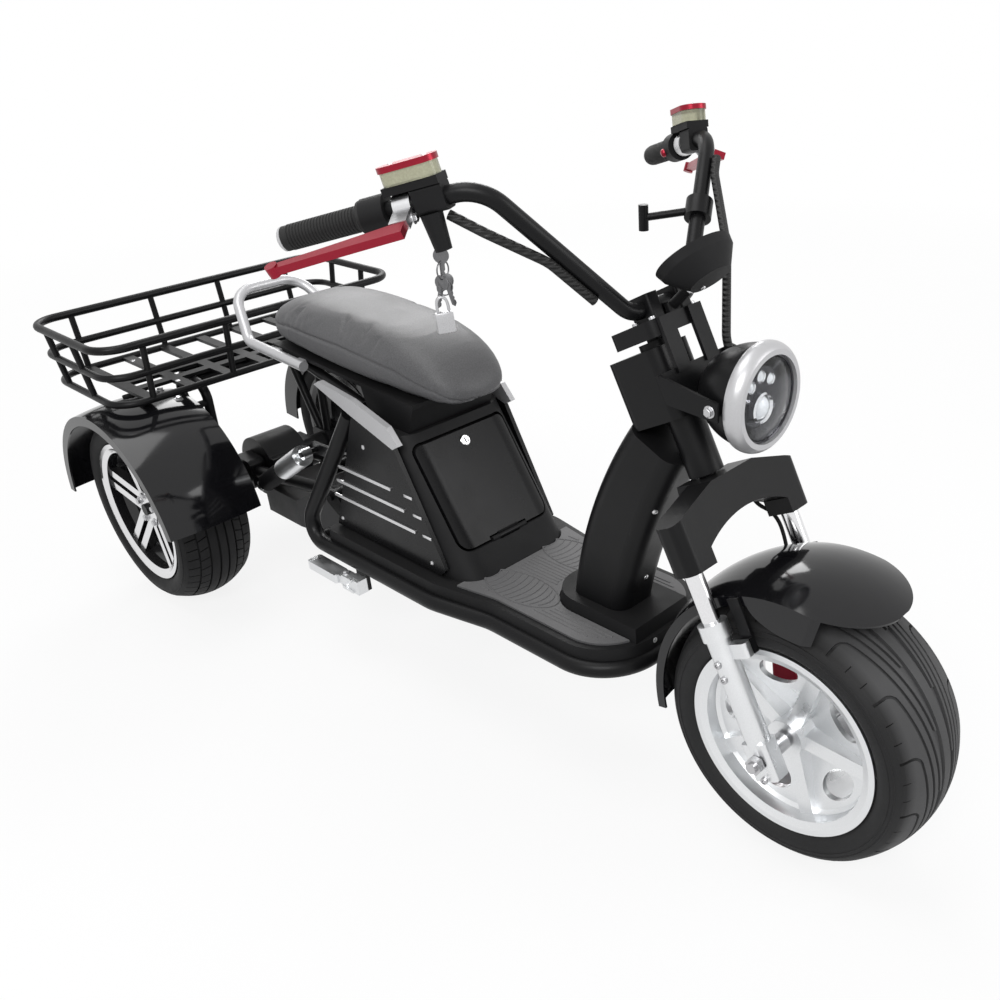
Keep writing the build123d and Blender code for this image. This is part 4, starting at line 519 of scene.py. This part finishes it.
def tread_blocks(name, shape, hub, grids, depth):
    """Closed blocks from grids of (angle, distance from the crown, side) on the tyre's outer line."""
    corners, faces = [], []
    for grid in grids:
        rows, columns, first = len(grid[0]), len(grid), len(corners)
        for lift in (0.0, -depth):
            for column in grid:
                for angle, u, side in column:
                    y, r = shape.at(u, lift)
                    corners.append((hub[0] + r * cos(angle), hub[1] + side * y, hub[2] + r * sin(angle)))
        low = rows * columns
        for c in range(columns - 1):
            for r in range(rows - 1):
                a = first + c * rows + r
                faces.append((a, a + 1, a + rows + 1, a + rows))
                faces.append((a + low, a + rows + low, a + rows + 1 + low, a + 1 + low))
            for r in (0, rows - 1):
                a = first + c * rows + r
                faces.append((a, a + rows, a + rows + low, a + low))
        for c in (0, columns - 1):
            for r in range(rows - 1):
                a = first + c * rows + r
                faces.append((a, a + low, a + 1 + low, a + 1))
    piece = fresh(name, "plane", size=0.01)
    piece.data.clear_geometry()
    piece.data.from_pydata(corners, [], faces)
    bpy.ops.object.mode_set(mode="EDIT")
    bpy.ops.mesh.select_all(action="SELECT")
    bpy.ops.mesh.normals_make_consistent(inside=False)
    bpy.ops.object.mode_set(mode="OBJECT")
    return piece


TREAD = 0.0045
GROOVE = 0.0025
HOOKS = 14
HOOK_ROUND = 0.012
TAIL_ROUND = 0.017
SIPE_SHARES = (0.36, 0.68)
SIPE_DEPTH = 0.013
THIN_END = 0.0012
RIB_COLUMNS = 6
MARK_LIFT = 0.0012
SINK = 0.001
HOOK_U = 0.059
LANE_END = 0.011
LANE_ARC = radians(105)
SHOULDER_U = 0.093
front_shape = TyreShape((0.0847, 0.1683), (0.095, 0.203), (0.077, 0.220), 0.238)
front_hub = (FRONT_X, 0, AXLE_Z)
hook_pitch = 2 * pi / HOOKS
groove_turn = GROOVE / front_shape.crown


def lane(turn):
    """Distance of a long groove from the crown, so far past its hook."""
    share = min(1, max(0, turn / LANE_ARC))
    return HOOK_U - (HOOK_U - LANE_END) * (1 - (1 - share) ** 1.35)


def corner(run, radius):
    return radius - sqrt(radius ** 2 - (radius - run) ** 2) if run < radius else 0.0


def rib_grid(start, side):
    """One rib from its hook at the shoulder to its thin end near the crown."""
    step = hook_pitch - groove_turn
    crown = front_shape.crown
    sipes = [hook_pitch * share for share in SIPE_SHARES]
    turns = [groove_turn + d / crown for d in (0, 0.0004, 0.0015, 0.0035, 0.006, 0.009)]
    turns += [groove_turn + 0.013 / crown + k * radians(1.6) for k in range(60)]
    turns += [step - 0.0001, step, step + 0.001, step + 0.003, step + 0.006, step + 0.01]
    turns += [s + d / crown for s in sipes for d in (-0.0009, -0.0007, 0.0007, 0.0009)]
    grid = []
    for turn in sorted(turns):
        inner = lane(turn) + GROOVE + corner((turn - groove_turn) * crown, HOOK_ROUND)
        if turn < step:
            outer = SHOULDER_U - (SIPE_DEPTH if any(abs(turn - s) * crown < WALL for s in sipes) else 0)
        else:
            outer = lane(turn - hook_pitch) - GROOVE + corner((turn - step) * crown, TAIL_ROUND)
        if outer - inner < THIN_END or turn > LANE_ARC:
            break
        grid.append([(start - turn, inner + (outer - inner) * k / RIB_COLUMNS, side) for k in range(RIB_COLUMNS + 1)])
    return grid


front_carcass = carcass("front_tyre_body", front_shape, front_hub,
                        [(0.009, SHOULDER_U, -TREAD), (0.104, 0.107, MARK_LIFT), (0.112, 0.1145, MARK_LIFT)])
ribs = [rib_grid(radians(45) - k * hook_pitch - shift, side) for k in range(HOOKS)
        for side, shift in ((-1, 0.0), (1, hook_pitch / 2))]
front_tread = tread_blocks("front_tread", front_shape, front_hub, ribs, TREAD + SINK)
treaded = joined("front_tyre_treaded", [front_carcass, front_tread])
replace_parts(settle(treaded, "front_wheel", worn_rubber, 28), "front_tyre")

rear_shape = TyreShape((0.0747, 0.1683), (0.084, 0.203), (0.066, 0.220), 0.238)
REAR_BLOCKS = 52
for side_name, y in REAR_SIDES:
    hub = (REAR_X, y, AXLE_Z)
    body_part = carcass("rear_tyre_body", rear_shape, hub,
                        [(0.008, 0.013, -TREAD), (0.03, 0.082, -TREAD), (0.094, 0.096, MARK_LIFT)])
    blocks = []
    for k in range(REAR_BLOCKS):
        for side in (-1, 1):
            for low, high, lean in ((0.034, 0.054, 0.5), (0.0575, 0.083, 0.3)):
                start = 2 * pi * (k + 0.5 * (side > 0)) / REAR_BLOCKS
                wide = 2 * pi / REAR_BLOCKS * 0.9
                blocks.append([[(start + wide * c / 3 - lean * (u - low) / rear_shape.crown, u, side)
                                for u in (low + (high - low) * r / 4 for r in range(5))] for c in range(4)])
    rear_tread = tread_blocks("rear_tread", rear_shape, hub, blocks, TREAD + SINK)
    treaded = joined("rear_tyre_treaded_" + side_name, [body_part, rear_tread])
    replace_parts(settle(treaded, "rear_wheel_" + side_name, tyre_rubber, 28), "rear_tyre_" + side_name)

# Seat: a row of rounded sections swelled as a foam pad under leather
SEAT_SECTIONS = (
    # place, shoulder height, crown height, half width, underside
    (-0.519, 0.668, 0.682, 0.056, 0.642), (-0.479, 0.688, 0.716, 0.098, 0.638), (-0.389, 0.698, 0.734, 0.116, 0.632),
    (-0.209, 0.694, 0.732, 0.122, 0.621), (-0.049, 0.676, 0.719, 0.112, 0.611), (0.046, 0.648, 0.688, 0.09, 0.606),
    (0.092, 0.62, 0.634, 0.058, 0.604),
)
SIDES = 24
SWELL_FRAMES = 20
SWELL_LIMIT = 0.008
SEAM_DROP = 0.012
SEAM_REACH = 0.012
SEAM_DEPTH = 0.0032
SEAM_WIDTH = 0.0028


def seat_at(x, column):
    for a, b in zip(SEAT_SECTIONS, SEAT_SECTIONS[1:]):
        if x <= b[0] or b is SEAT_SECTIONS[-1]:
            share = min(1, max(0, (x - a[0]) / (b[0] - a[0])))
            return a[column] + (b[column] - a[column]) * share


pad = fresh("seat_pad", "cylinder", vertices=SIDES, radius=0.1, depth=SEAT_SECTIONS[-1][0] - SEAT_SECTIONS[0][0],
            location=((SEAT_SECTIONS[0][0] + SEAT_SECTIONS[-1][0]) / 2, 0, 0), rotation=(0, pi / 2, 0))
bpy.ops.object.transform_apply(location=True, rotation=True, scale=True)
bpy.ops.object.mode_set(mode="EDIT")
for section in SEAT_SECTIONS[1:-1]:
    bpy.ops.mesh.select_all(action="SELECT")
    bpy.ops.mesh.bisect(plane_co=(section[0], 0, 0), plane_no=(1, 0, 0))
bpy.ops.object.mode_set(mode="OBJECT")
for corner_point in pad.data.vertices:
    x, y, z = corner_point.co
    turn = atan2(z, y)
    shoulder, crown, half, low = (seat_at(x, k) for k in (1, 2, 3, 4))
    middle = (low + shoulder) / 2 + 0.008
    wide = abs(cos(turn)) ** 0.62 * (1 if cos(turn) >= 0 else -1)
    tall = abs(sin(turn)) ** 0.78
    corner_point.co.y = half * wide
    corner_point.co.z = middle + (crown - middle) * tall if z >= 0 else middle - (middle - low) * abs(sin(turn)) ** 0.5
rounding = pad.modifiers.new("round", "SUBSURF")
rounding.levels = rounding.render_levels = 2
fine = pad.modifiers.new("even", "REMESH")
fine.mode = "VOXEL"
fine.voxel_size = 0.0055
apply_all(pad)
start = [v.co.copy() for v in pad.data.vertices]
cloth = pad.modifiers.new("swell", "CLOTH")
cloth.settings.use_pressure = True
cloth.settings.uniform_pressure_force = 4
cloth.settings.effector_weights.gravity = 0
cloth.settings.tension_stiffness = 25
cloth.settings.compression_stiffness = 25
cloth.point_cache.frame_start = 1
cloth.point_cache.frame_end = SWELL_FRAMES
for step in range(1, SWELL_FRAMES + 1):
    bpy.context.scene.frame_set(step)
apply_all(pad)
for v, rest_place in zip(pad.data.vertices, start):
    move = v.co - rest_place
    if move.length > SWELL_LIMIT:
        v.co = rest_place + move.normalized() * SWELL_LIMIT
bpy.context.scene.frame_set(1)
smooth = pad.modifiers.new("fine", "SUBSURF")
smooth.levels = smooth.render_levels = 1
apply_all(pad)
outward = [v.normal.copy() for v in pad.data.vertices]
for v, normal in zip(pad.data.vertices, outward):
    off = v.co.z - (seat_at(v.co.x, 1) - SEAM_DROP)
    if abs(off) < SEAM_REACH and abs(normal.z) < 0.75:
        v.co -= normal * SEAM_DEPTH * exp(-(off / SEAM_WIDTH) ** 2)
settle(pad, "chassis", seat_leather, 60)
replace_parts(pad, "seat")

# Fasteners: models of unit width, copied to where the CAD pieces carry them

def pick_faces(piece, test):
    """Go into edit mode with the faces that pass a test selected."""
    bpy.ops.object.mode_set(mode="EDIT")
    bpy.ops.mesh.select_mode(type="FACE")
    bpy.ops.mesh.select_all(action="DESELECT")
    bpy.ops.object.mode_set(mode="OBJECT")
    for face in piece.data.polygons:
        face.select = test(face)
    bpy.ops.object.mode_set(mode="EDIT")


def hex_bolt():
    head = fresh("hex_head", "cylinder", vertices=6, radius=0.5, depth=0.34, location=(0, 0, 0.25))
    bpy.ops.object.transform_apply(location=True, rotation=True, scale=True)
    pick_faces(head, lambda face: face.normal.z > 0.9)
    bpy.ops.mesh.inset(thickness=0.07)
    bpy.ops.transform.translate(value=(0, 0, 0.05))
    bpy.ops.object.mode_set(mode="OBJECT")
    washer = lathe("washer", [(0, 0), (0, 0.68), (0.06, 0.68), (0.09, 0.64), (0.09, 0)], steps=24)
    return joined("hex_bolt", [head, washer])


def cap_screw():
    profile = [(0, 0), (0, 0.5), (0.32, 0.5), (0.4, 0.43), (0.4, 0.26), (0.16, 0.23), (0.16, 0)]
    return lathe("cap_screw", profile, steps=18)


def round_screw():
    profile = [(0, 0), (0, 0.5), (0.1, 0.48), (0.2, 0.36), (0.25, 0.16), (0.2, 0.12), (0.2, 0)]
    return lathe("round_screw", profile, steps=18)


HEX, CAP, ROUND = hex_bolt(), cap_screw(), round_screw()


def fasten(name, model, size, body, rows, finish=brushed_steel):
    """Copies of a fastener at (place, normal) rows, joined on one body."""
    spots = [aimed(place, normal) @ Matrix.Scale(size, 4) for place, normal in rows]
    settle(joined(name, copies(model, spots)), body, finish, 30)


def both_sides(node, points, aim):
    """The same touch on the right and on the left."""
    rows = []
    for side in (-1, 1):
        rows += [touch(node, (x, side * y, z), (aim[0], side * aim[1], aim[2])) for x, y, z in points]
    return rows


def mirrored(row):
    """A row and its twin on the other side."""
    place, normal = row
    return [row, (Vector((place.x, -place.y, place.z)), Vector((normal.x, -normal.y, normal.z)))]


INWARD, DOWN = (0, -1, 0), (0, 0, -1)
GRIP_TIP = (-0.215, 0.395, 0.972)
GRIP_AXIS = (steer(*GRIP_TIP) - steer(0.037, 0.245, 0.922)).normalized()
NUT_CIRCLE = 0.036
cap_low, cap_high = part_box("reservoir_caps")
cap_middle = Vector(((cap_low.x + cap_high.x) / 2, 0.2955, 1.3))
slat_spots = [Vector((x, y, 0.7)) for x in (-0.99, -0.765) for y in (-0.2, -0.08, 0.08, 0.2)]

fasten("fork_bolts", CAP, 0.012, "steering",
       both_sides("fork_legs", [(0.846, 0.3, 0.212), (0.754, 0.3, 0.388), (0.766, 0.3, 0.366)], INWARD))
fasten("lamp_bolts", HEX, 0.014, "steering", both_sides("lamp_bracket", [(0.687, 0.3, 0.762)], INWARD))
fasten("clamp_bolts", CAP, 0.011, "steering",
       [touch("upper_clamp", steer(u, v, 0.85), -ALONG) for u in (0.016, 0.052) for v in (-0.046, 0.046)])
fasten("pod_screws", ROUND, 0.009, "steering",
       [seen("instrument_pod", 690, 292), seen("instrument_pod", 703, 288)], bare_alloy)
fasten("cap_screws", ROUND, 0.008, "steering",
       both_sides("reservoir_caps", [cap_middle + GRIP_AXIS * s for s in (-0.025, 0.025)], DOWN), bare_alloy)
fasten("lever_pivots", HEX, 0.012, "steering", mirrored(seen("perches", 414, 218)))
fasten("neck_screws", ROUND, 0.01, "chassis",
       [seen("neck", 655, 512), seen("neck", 646, 577), seen("deck_pan", 655, 640)], bare_alloy)
fasten("panel_screws", ROUND, 0.01, "chassis",
       both_sides("side_panels", [(-0.245, 0.3, 0.305), (0.055, 0.3, 0.305), (-0.12, 0.3, 0.505)], INWARD))
fasten("peg_bolts", HEX, 0.013, "chassis", both_sides("peg_mounts", [(-0.178, 0.203, 0.4)], DOWN))
fasten("slat_bolts", ROUND, 0.012, "chassis",
       [touch("basket_floor", spot, DOWN) for spot in slat_spots
        if nodes["basket_floor"].ray_cast(spot, Vector(DOWN))[0]])
fasten("fender_bolts", HEX, 0.014, "chassis",
       [touch("rear_fender_" + side_name, (x, y, 0.7), DOWN)
        for side_name, y in (("right", -0.225), ("left", 0.225)) for x in (-0.815, -0.725)])
for side_name, y in REAR_SIDES:
    side = -1 if y < 0 else 1
    nuts = [touch("rear_rim_" + side_name,
                  (REAR_X + NUT_CIRCLE * cos(a), side * 0.6, AXLE_Z + NUT_CIRCLE * sin(a)), (0, -side, 0))
            for a in (radians(90 + 72 * k) for k in range(5))]
    fasten("wheel_nuts_" + side_name, HEX, 0.015, "rear_wheel_" + side_name, nuts)
bpy.ops.object.select_all(action="DESELECT")
for model in (HEX, CAP, ROUND):
    model.select_set(True)
bpy.ops.object.delete()

# Oval rubber pucks on the rear fenders
pucks = []
for side_name, y in (("right", -0.285), ("left", 0.285)):
    place, normal = touch("rear_fender_" + side_name, (-0.83, y, 0.8), DOWN)
    pucks.append(slab("fender_puck", oval(0.021, 0.013), 0.007, aimed(place - normal * 0.001, normal), 0.002))
settle(joined("fender_pucks", pucks), "chassis", grip_rubber)

# Headlamp inside: dish, projector and three small lamps behind a thin dome
LAMP = Vector((0.731, 0, 0.762))
dish_line = [(-0.0257, 0), (-0.0257, 0.0652), (-0.006, 0.0652), (-0.011, 0.058), (-0.013, 0.057), (-0.019, 0.046),
             (-0.021, 0.045), (-0.0235, 0.03), (-0.0245, 0)]
dish = lathe("lamp_dish", dish_line, LAMP, (1, 0, 0), 64)
settle(dish, "steering", reflector_dark)
bezel_line = [(-0.004, 0.024), (0.008, 0.024), (0.0105, 0.0215), (0.007, 0.019), (-0.004, 0.019), (-0.004, 0.024)]
lens_line = [(-0.002, 0), (-0.002, 0.0188), (0.004, 0.0182), (0.009, 0.014), (0.0125, 0.008), (0.0138, 0)]
LAMP_EYES = ((0.0, -0.016, 1.0), (-0.024, 0.021, 0.42), (0.0, 0.031, 0.42), (0.024, 0.021, 0.42))
bezels, lenses = [], []
for across, height, scale in LAMP_EYES:
    spot = LAMP + Vector((-0.0225, across, height))
    bezels.append(lathe("lamp_bezel", [(a * scale, r * scale) for a, r in bezel_line], spot, (1, 0, 0), 36))
    lenses.append(lathe("lamp_lens", [(a * scale, r * scale) for a, r in lens_line], spot, (1, 0, 0), 36))
settle(joined("lamp_bezels", bezels), "steering", chrome_plate)
settle(joined("lamp_lenses", lenses), "steering", lens_white, 50)
DOME = 0.19
dome_radii = [0.0652, 0.058, 0.05, 0.042, 0.034, 0.026, 0.018, 0.01, 0.0]
outer = [(0.0035 - DOME + sqrt(DOME ** 2 - r ** 2), r) for r in dome_radii]
inner = [(along - 0.002, r) for along, r in reversed(outer)]
dome = lathe("lamp_dome", outer + inner + [outer[0]], LAMP, (1, 0, 0), 64)
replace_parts(settle(dome, "steering", clear_glass, 60), "lamp_glass")

# Grips with moulded rings, and their pale end caps
RING_COUNT, RING_PITCH = 22, 0.0049
BAR_TIPS = [steer(GRIP_TIP[0], side * GRIP_TIP[1], GRIP_TIP[2]) for side in (-1, 1)]
grip_line = [(0.126, 0.0132), (0.126, 0.022), (0.122, 0.0225), (0.118, 0.0175)]
for k in range(RING_COUNT):
    along = 0.114 - k * RING_PITCH
    grip_line += [(along, 0.0166), (along - 0.001, 0.0178), (along - 0.0032, 0.0178), (along - 0.0042, 0.0166)]
grip_line += [(0.003, 0.0172), (-0.001, 0.0172), (-0.001, 0.0132), (0.126, 0.0132)]
cap_line = [(-0.0012, 0), (-0.0012, 0.0172), (-0.005, 0.0168), (-0.0072, 0.0145), (-0.0076, 0.006), (-0.0066, 0)]
sleeves, ends = [], []
for tip, side in zip(BAR_TIPS, (-1, 1)):
    inboard = -Vector((GRIP_AXIS.x, side * GRIP_AXIS.y, GRIP_AXIS.z))
    sleeves.append(lathe("grip_sleeve", grip_line, tip, inboard, 36))
    ends.append(lathe("grip_end", cap_line, tip, inboard, 36))
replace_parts(settle(joined("ribbed_grips", sleeves), "steering", grip_rubber), "grips")
settle(joined("grip_ends", ends), "steering", pale_silver)

# Mat: lengthwise ribs clipped to the mat, and two oval tread plates
MAT_TOP = 0.285
PLATES = ((0.235, -0.078), (0.235, 0.078))
RIB_ROWS, RIB_PITCH = 15, 0.0088
RIB_START, RIB_STEP, RIB_STEPS = 0.135, 0.004, 96
SHORTEST_RIB = 0.02


def on_mat(x, y):
    return nodes["floor_mat"].ray_cast(Vector((x, y, 0.6)), Vector(DOWN))[0]


def rib_allowed(x, y):
    for px, py in PLATES:
        if ((x - px) / 0.1) ** 2 + ((y - py) / 0.05) ** 2 < 1:
            return False
    return all(on_mat(x + dx, y + dy) for dx in (-0.012, 0.012) for dy in (-0.012, 0.012))


rib = fresh("mat_rib", "cube", size=1)
pick_faces(rib, lambda face: face.normal.z > 0.9)
bpy.ops.transform.resize(value=(0.99, 0.45, 1))
bpy.ops.object.mode_set(mode="OBJECT")
rib_spots = []
for row in range(-RIB_ROWS, RIB_ROWS + 1):
    y = row * RIB_PITCH
    run = []
    for k in range(RIB_STEPS):
        x = RIB_START + k * RIB_STEP
        if rib_allowed(x, y):
            run.append(x)
        if run and (not rib_allowed(x, y) or k == RIB_STEPS - 1):
            if run[-1] - run[0] > SHORTEST_RIB:
                middle, long = (run[0] + run[-1]) / 2, run[-1] - run[0]
                rib_spots.append(Matrix.Translation((middle, y, MAT_TOP + 0.0005))
                                 @ Matrix.Diagonal((long, 0.0046, 0.0016, 1)))
            run = []
ribs_made = copies(rib, rib_spots)
bpy.data.objects.remove(rib)
for px, py in PLATES:
    ribs_made.append(wire("plate_edge", [(px + 0.094 * cos(a), py + 0.044 * sin(a), MAT_TOP) for a in
                                         (2 * pi * k / 16 for k in range(16))], 0.0016, cyclic=True, sides=2))
    for k in range(-5, 6):
        x = px + k * 0.015
        reach = 0.04 * sqrt(max(0, 1 - ((x - px) / 0.09) ** 2))
        ribs_made.append(wire("plate_arc", [(x - 0.008, py - reach, MAT_TOP), (x + 0.01, py, MAT_TOP),
                                            (x - 0.008, py + reach, MAT_TOP)], 0.0013, sides=2))
settle(joined("mat_ribs", ribs_made), "chassis", mat_rubber, 30)

# Door lock with its keyhole, and short bright strips on the side panels
lock_place, lock_normal = touch("battery_door", (0.5, 0.0, 0.505), (-1, 0, 0))
lock_line = [(-0.001, 0), (-0.001, 0.011), (0.002, 0.011), (0.0035, 0.0095), (0.0035, 0.007), (0.002, 0.0062),
             (0.002, 0)]
lock = lathe("lock_ring", lock_line, lock_place, lock_normal, 28)
slit = slab("lock_slit", oblong(0.0012, 0.005), 0.0006,
            aimed(lock_place + lock_normal * 0.0019, lock_normal), 0.0002)
settle(lock, "battery_door", chrome_plate)
settle(slit, "battery_door", matt_plastic)
short_strips = []
for side in (-1, 1):
    for x, z in ((0.052, 0.362), (0.03, 0.4), (0.008, 0.436)):
        spot = Matrix.Translation((x, side * 0.1468, z)) @ Matrix.Rotation(radians(-90 * side), 4, "X")
        short_strips.append(slab("short_strip", oblong(0.013, 0.003), 0.0024, spot, 0.0008))
settle(joined("short_strips", short_strips), "chassis", bare_alloy)

# Keys, ring and padlock that hang from the key switch
switch = [v.co for v in nodes["control_pods"].data.vertices if v.co.y < 0]
switch_low = min(p.z for p in switch)
lowest = [p for p in switch if p.z < switch_low + 0.004]
hook = sum(lowest, Vector()) / len(lowest)
HANG = Matrix((level, (0, 0, 1), level.cross(Vector((0, 0, 1))))).transposed().to_4x4()


def hung(drop, turn, swing=0.0, sway=0.0):
    """Upright on a line below the switch, turned about it and swung to a side."""
    place = Matrix.Translation(hook + Vector((0, 0, -drop)) + level * sway)
    return place @ Matrix.Rotation(radians(turn), 4, "Z") @ HANG @ Matrix.Rotation(radians(swing), 4, "Z")


def hoop(name, radius, thick, spot):
    line = [spot @ Vector((x, y, 0)) for x, y in oval(radius, radius, 12)]
    return wire(name, line, thick, cyclic=True)


bow = [(0.011 * cos(radians(a)), 0.011 * sin(radians(a)) - 0.012) for a in range(-60, 241, 20)]
blade = [(-0.0036, -0.024), (-0.0036, -0.046), (0.0, -0.05), (0.0036, -0.046), (0.0036, -0.042), (0.002, -0.04),
         (0.0036, -0.037), (0.002, -0.034), (0.0036, -0.031), (0.0036, -0.024)]
keys = [slab("key", bow + blade, 0.0022, hung(drop, turn, swing), 0.0005) for drop, turn, swing in
        ((-0.006, 0, 0), (0.03, 35, 14), (0.032, -25, -16))]
lock_spot = hung(0.082, 10, 4, -0.006)
stem = slab("padlock", [(-0.013, -0.03), (0.013, -0.03), (0.013, 0), (-0.013, 0)], 0.012, lock_spot, 0.003)
bail_line = ((-0.008, -0.002), (-0.008, 0.012), (-0.005, 0.019), (0, 0.021), (0.005, 0.019), (0.008, 0.012),
             (0.008, -0.002))
bail = wire("padlock_bail", [lock_spot @ Vector((x, y, 0.006)) for x, y in bail_line], 0.0022)
rings = [hoop("key_ring", 0.013, 0.0011, hung(0.026, 60)), hoop("lock_ring_small", 0.011, 0.001, hung(0.05, 20))]
settle(joined("hanging_keys", keys + rings), "steering", key_steel)
settle(joined("padlock_fob", [stem, bail]), "steering", brushed_steel)

# Instrument glass that faces the rider, and the switch stub and red lens of the left housing
pod_low, pod_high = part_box("instrument_pod")
pod_middle = (pod_low + pod_high) / 2
glass_place, glass_normal = touch("instrument_pod", pod_middle + Vector((-0.3, 0, 0.3)), (1, 0, -1))
glass_spot = aimed(glass_place - glass_normal * 0.0006, glass_normal)
face_glass = slab("pod_glass", oval(0.05, 0.026), 0.0022, glass_spot, 0.0008)
settle(face_glass, "steering", gloss_black)
left_tip = BAR_TIPS[1]
left_in = -GRIP_AXIS
stub_place, stub_normal = touch("control_pods", left_tip + left_in * 0.15 + Vector((0, 0, 0.2)), DOWN)
stub_line = [(-0.001, 0), (-0.001, 0.006), (0.006, 0.006), (0.008, 0.0045), (0.008, 0)]
stub = lathe("switch_stub", stub_line, stub_place, stub_normal, 20)
settle(stub, "steering", matt_plastic)
lens_start = left_tip + left_in * 0.145 + Vector((-0.15, -0.1, -0.01))
lens_place, lens_normal = touch("control_pods", lens_start, (0.83, 0.55, 0))
red_line = [(-0.001, 0), (-0.001, 0.007), (0.003, 0.0066), (0.005, 0.004), (0.0055, 0)]
red_lens = lathe("red_switch", red_line, lens_place, lens_normal, 20)
settle(red_lens, "steering", red_anodised, 50)

# Brake hose from under the yoke, down behind the left leg to the caliper
HOSE_R = 0.0034
hose_top = touch("fork_yoke", (0.64, 0.08, 0.45), (0, 0, 1))[0]
hose_foot = touch("front_caliper", (0.755, 0.085, 0.4), DOWN)[0]
HOSE = [hose_top, hose_top + Vector((0.004, 0.006, -0.03)), (0.668, 0.124, 0.505), (0.684, 0.134, 0.45),
        (0.696, 0.132, 0.39), (0.716, 0.122, 0.335), hose_foot + Vector((-0.012, 0.012, 0.03)), hose_foot]
hose = smooth_line("brake_hose", HOSE)
hose.data.splines[0].resolution_u = 16
bpy.context.view_layer.update()
drawn = bpy.data.meshes.new_from_object(hose)
thicken(hose, HOSE_R, 4)
hose.data.materials.append(grip_rubber.material)
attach(hose, "steering")

# Stage: pale floor, soft lamps and the photograph's camera

def clear_sight(tree):
    """1 for what the camera sees straight, mirrored or through glass."""
    path = add_node(tree, "ShaderNodeLightPath")
    direct = math_node(tree, "MAXIMUM", path.outputs["Is Camera Ray"], path.outputs["Is Glossy Ray"])
    return math_node(tree, "MAXIMUM", direct, path.outputs["Is Transmission Ray"])


floor = fresh("floor", "plane", size=60, location=(0, 0, -0.0005))
floor_paint = bpy.data.materials.new("studio_floor")
floor_paint.use_nodes = True
tree = floor_paint.node_tree
paint = tree.nodes["Principled BSDF"]
paint.inputs["Base Color"].default_value = (0.86, 0.86, 0.86, 1)
paint.inputs["Roughness"].default_value = 0.9
paint.inputs["Specular IOR Level"].default_value = 0.1
glow = add_node(tree, "ShaderNodeEmission")
blend = add_node(tree, "ShaderNodeMixShader")
spread = add_node(tree, "ShaderNodeTexCoord")
reach = add_node(tree, "ShaderNodeVectorMath", operation="LENGTH")
fade = add_node(tree, "ShaderNodeMapRange", {"From Min": 1.0, "From Max": 5.0, "To Min": 0.86})
tree.links.new(spread.outputs["Object"], reach.inputs[0])
tree.links.new(reach.outputs["Value"], fade.inputs["Value"])
tree.links.new(math_node(tree, "MULTIPLY", clear_sight(tree), fade.outputs["Result"]), blend.inputs["Fac"])
tree.links.new(paint.outputs["BSDF"], blend.inputs[1])
tree.links.new(glow.outputs["Emission"], blend.inputs[2])
tree.links.new(blend.outputs["Shader"], tree.nodes["Material Output"].inputs["Surface"])
floor.data.materials.append(floor_paint)

world = bpy.data.worlds.new("studio")
bpy.context.scene.world = world
world.use_nodes = True
sky = world.node_tree
backdrop = sky.nodes["Background"]
backdrop.inputs["Color"].default_value = (0.8, 0.8, 0.82, 1)
backdrop.inputs["Strength"].default_value = 0.4
white = add_node(sky, "ShaderNodeBackground", {"Color": (1, 1, 1, 1), "Strength": 1.0})
both = add_node(sky, "ShaderNodeMixShader")
sky.links.new(clear_sight(sky), both.inputs["Fac"])
sky.links.new(backdrop.outputs["Background"], both.inputs[1])
sky.links.new(white.outputs["Background"], both.inputs[2])
sky.links.new(both.outputs["Shader"], sky.nodes["World Output"].inputs["Surface"])

LAMPS = (
    # name, place, target, width, height, watts
    ("key_lamp", (2.2, -3.2, 3.6), (0.1, 0, 0.4), 2.4, 1.6, 120),
    ("fill_lamp", (3.6, 1.8, 2.2), (0.4, 0, 0.5), 1.8, 2.2, 45),
    ("back_lamp", (-2.8, 2.4, 2.8), (-0.2, 0, 0.6), 2.6, 1.4, 80),
    ("top_lamp", (-0.6, -0.6, 4.2), (-0.1, 0, 0.4), 3.0, 2.0, 60),
)
for name, place, target, width, height, watts in LAMPS:
    light = bpy.data.lights.new(name, "AREA")
    light.shape = "RECTANGLE"
    light.size = width
    light.size_y = height
    light.energy = watts
    lamp = bpy.data.objects.new(name, light)
    bpy.context.scene.collection.objects.link(lamp)
    aim = Vector(target) - Vector(place)
    lamp.matrix_world = Matrix.Translation(place) @ aim.to_track_quat("-Z", "Y").to_matrix().to_4x4()

view = bpy.data.cameras.new("photo_camera")
view.sensor_width = SENSOR
view.lens = LENS
view.shift_x = SHIFT_X
view.shift_y = SHIFT_Y
view.clip_end = 200
camera = bpy.data.objects.new("photo_camera", view)
camera.matrix_world = Matrix((
    (right.x, up.x, back.x, eye.x), (right.y, up.y, back.y, eye.y), (right.z, up.z, back.z, eye.z), (0, 0, 0, 1)))
bpy.context.scene.collection.objects.link(camera)
bpy.context.scene.camera = camera
bpy.context.scene.view_settings.view_transform = "Standard"
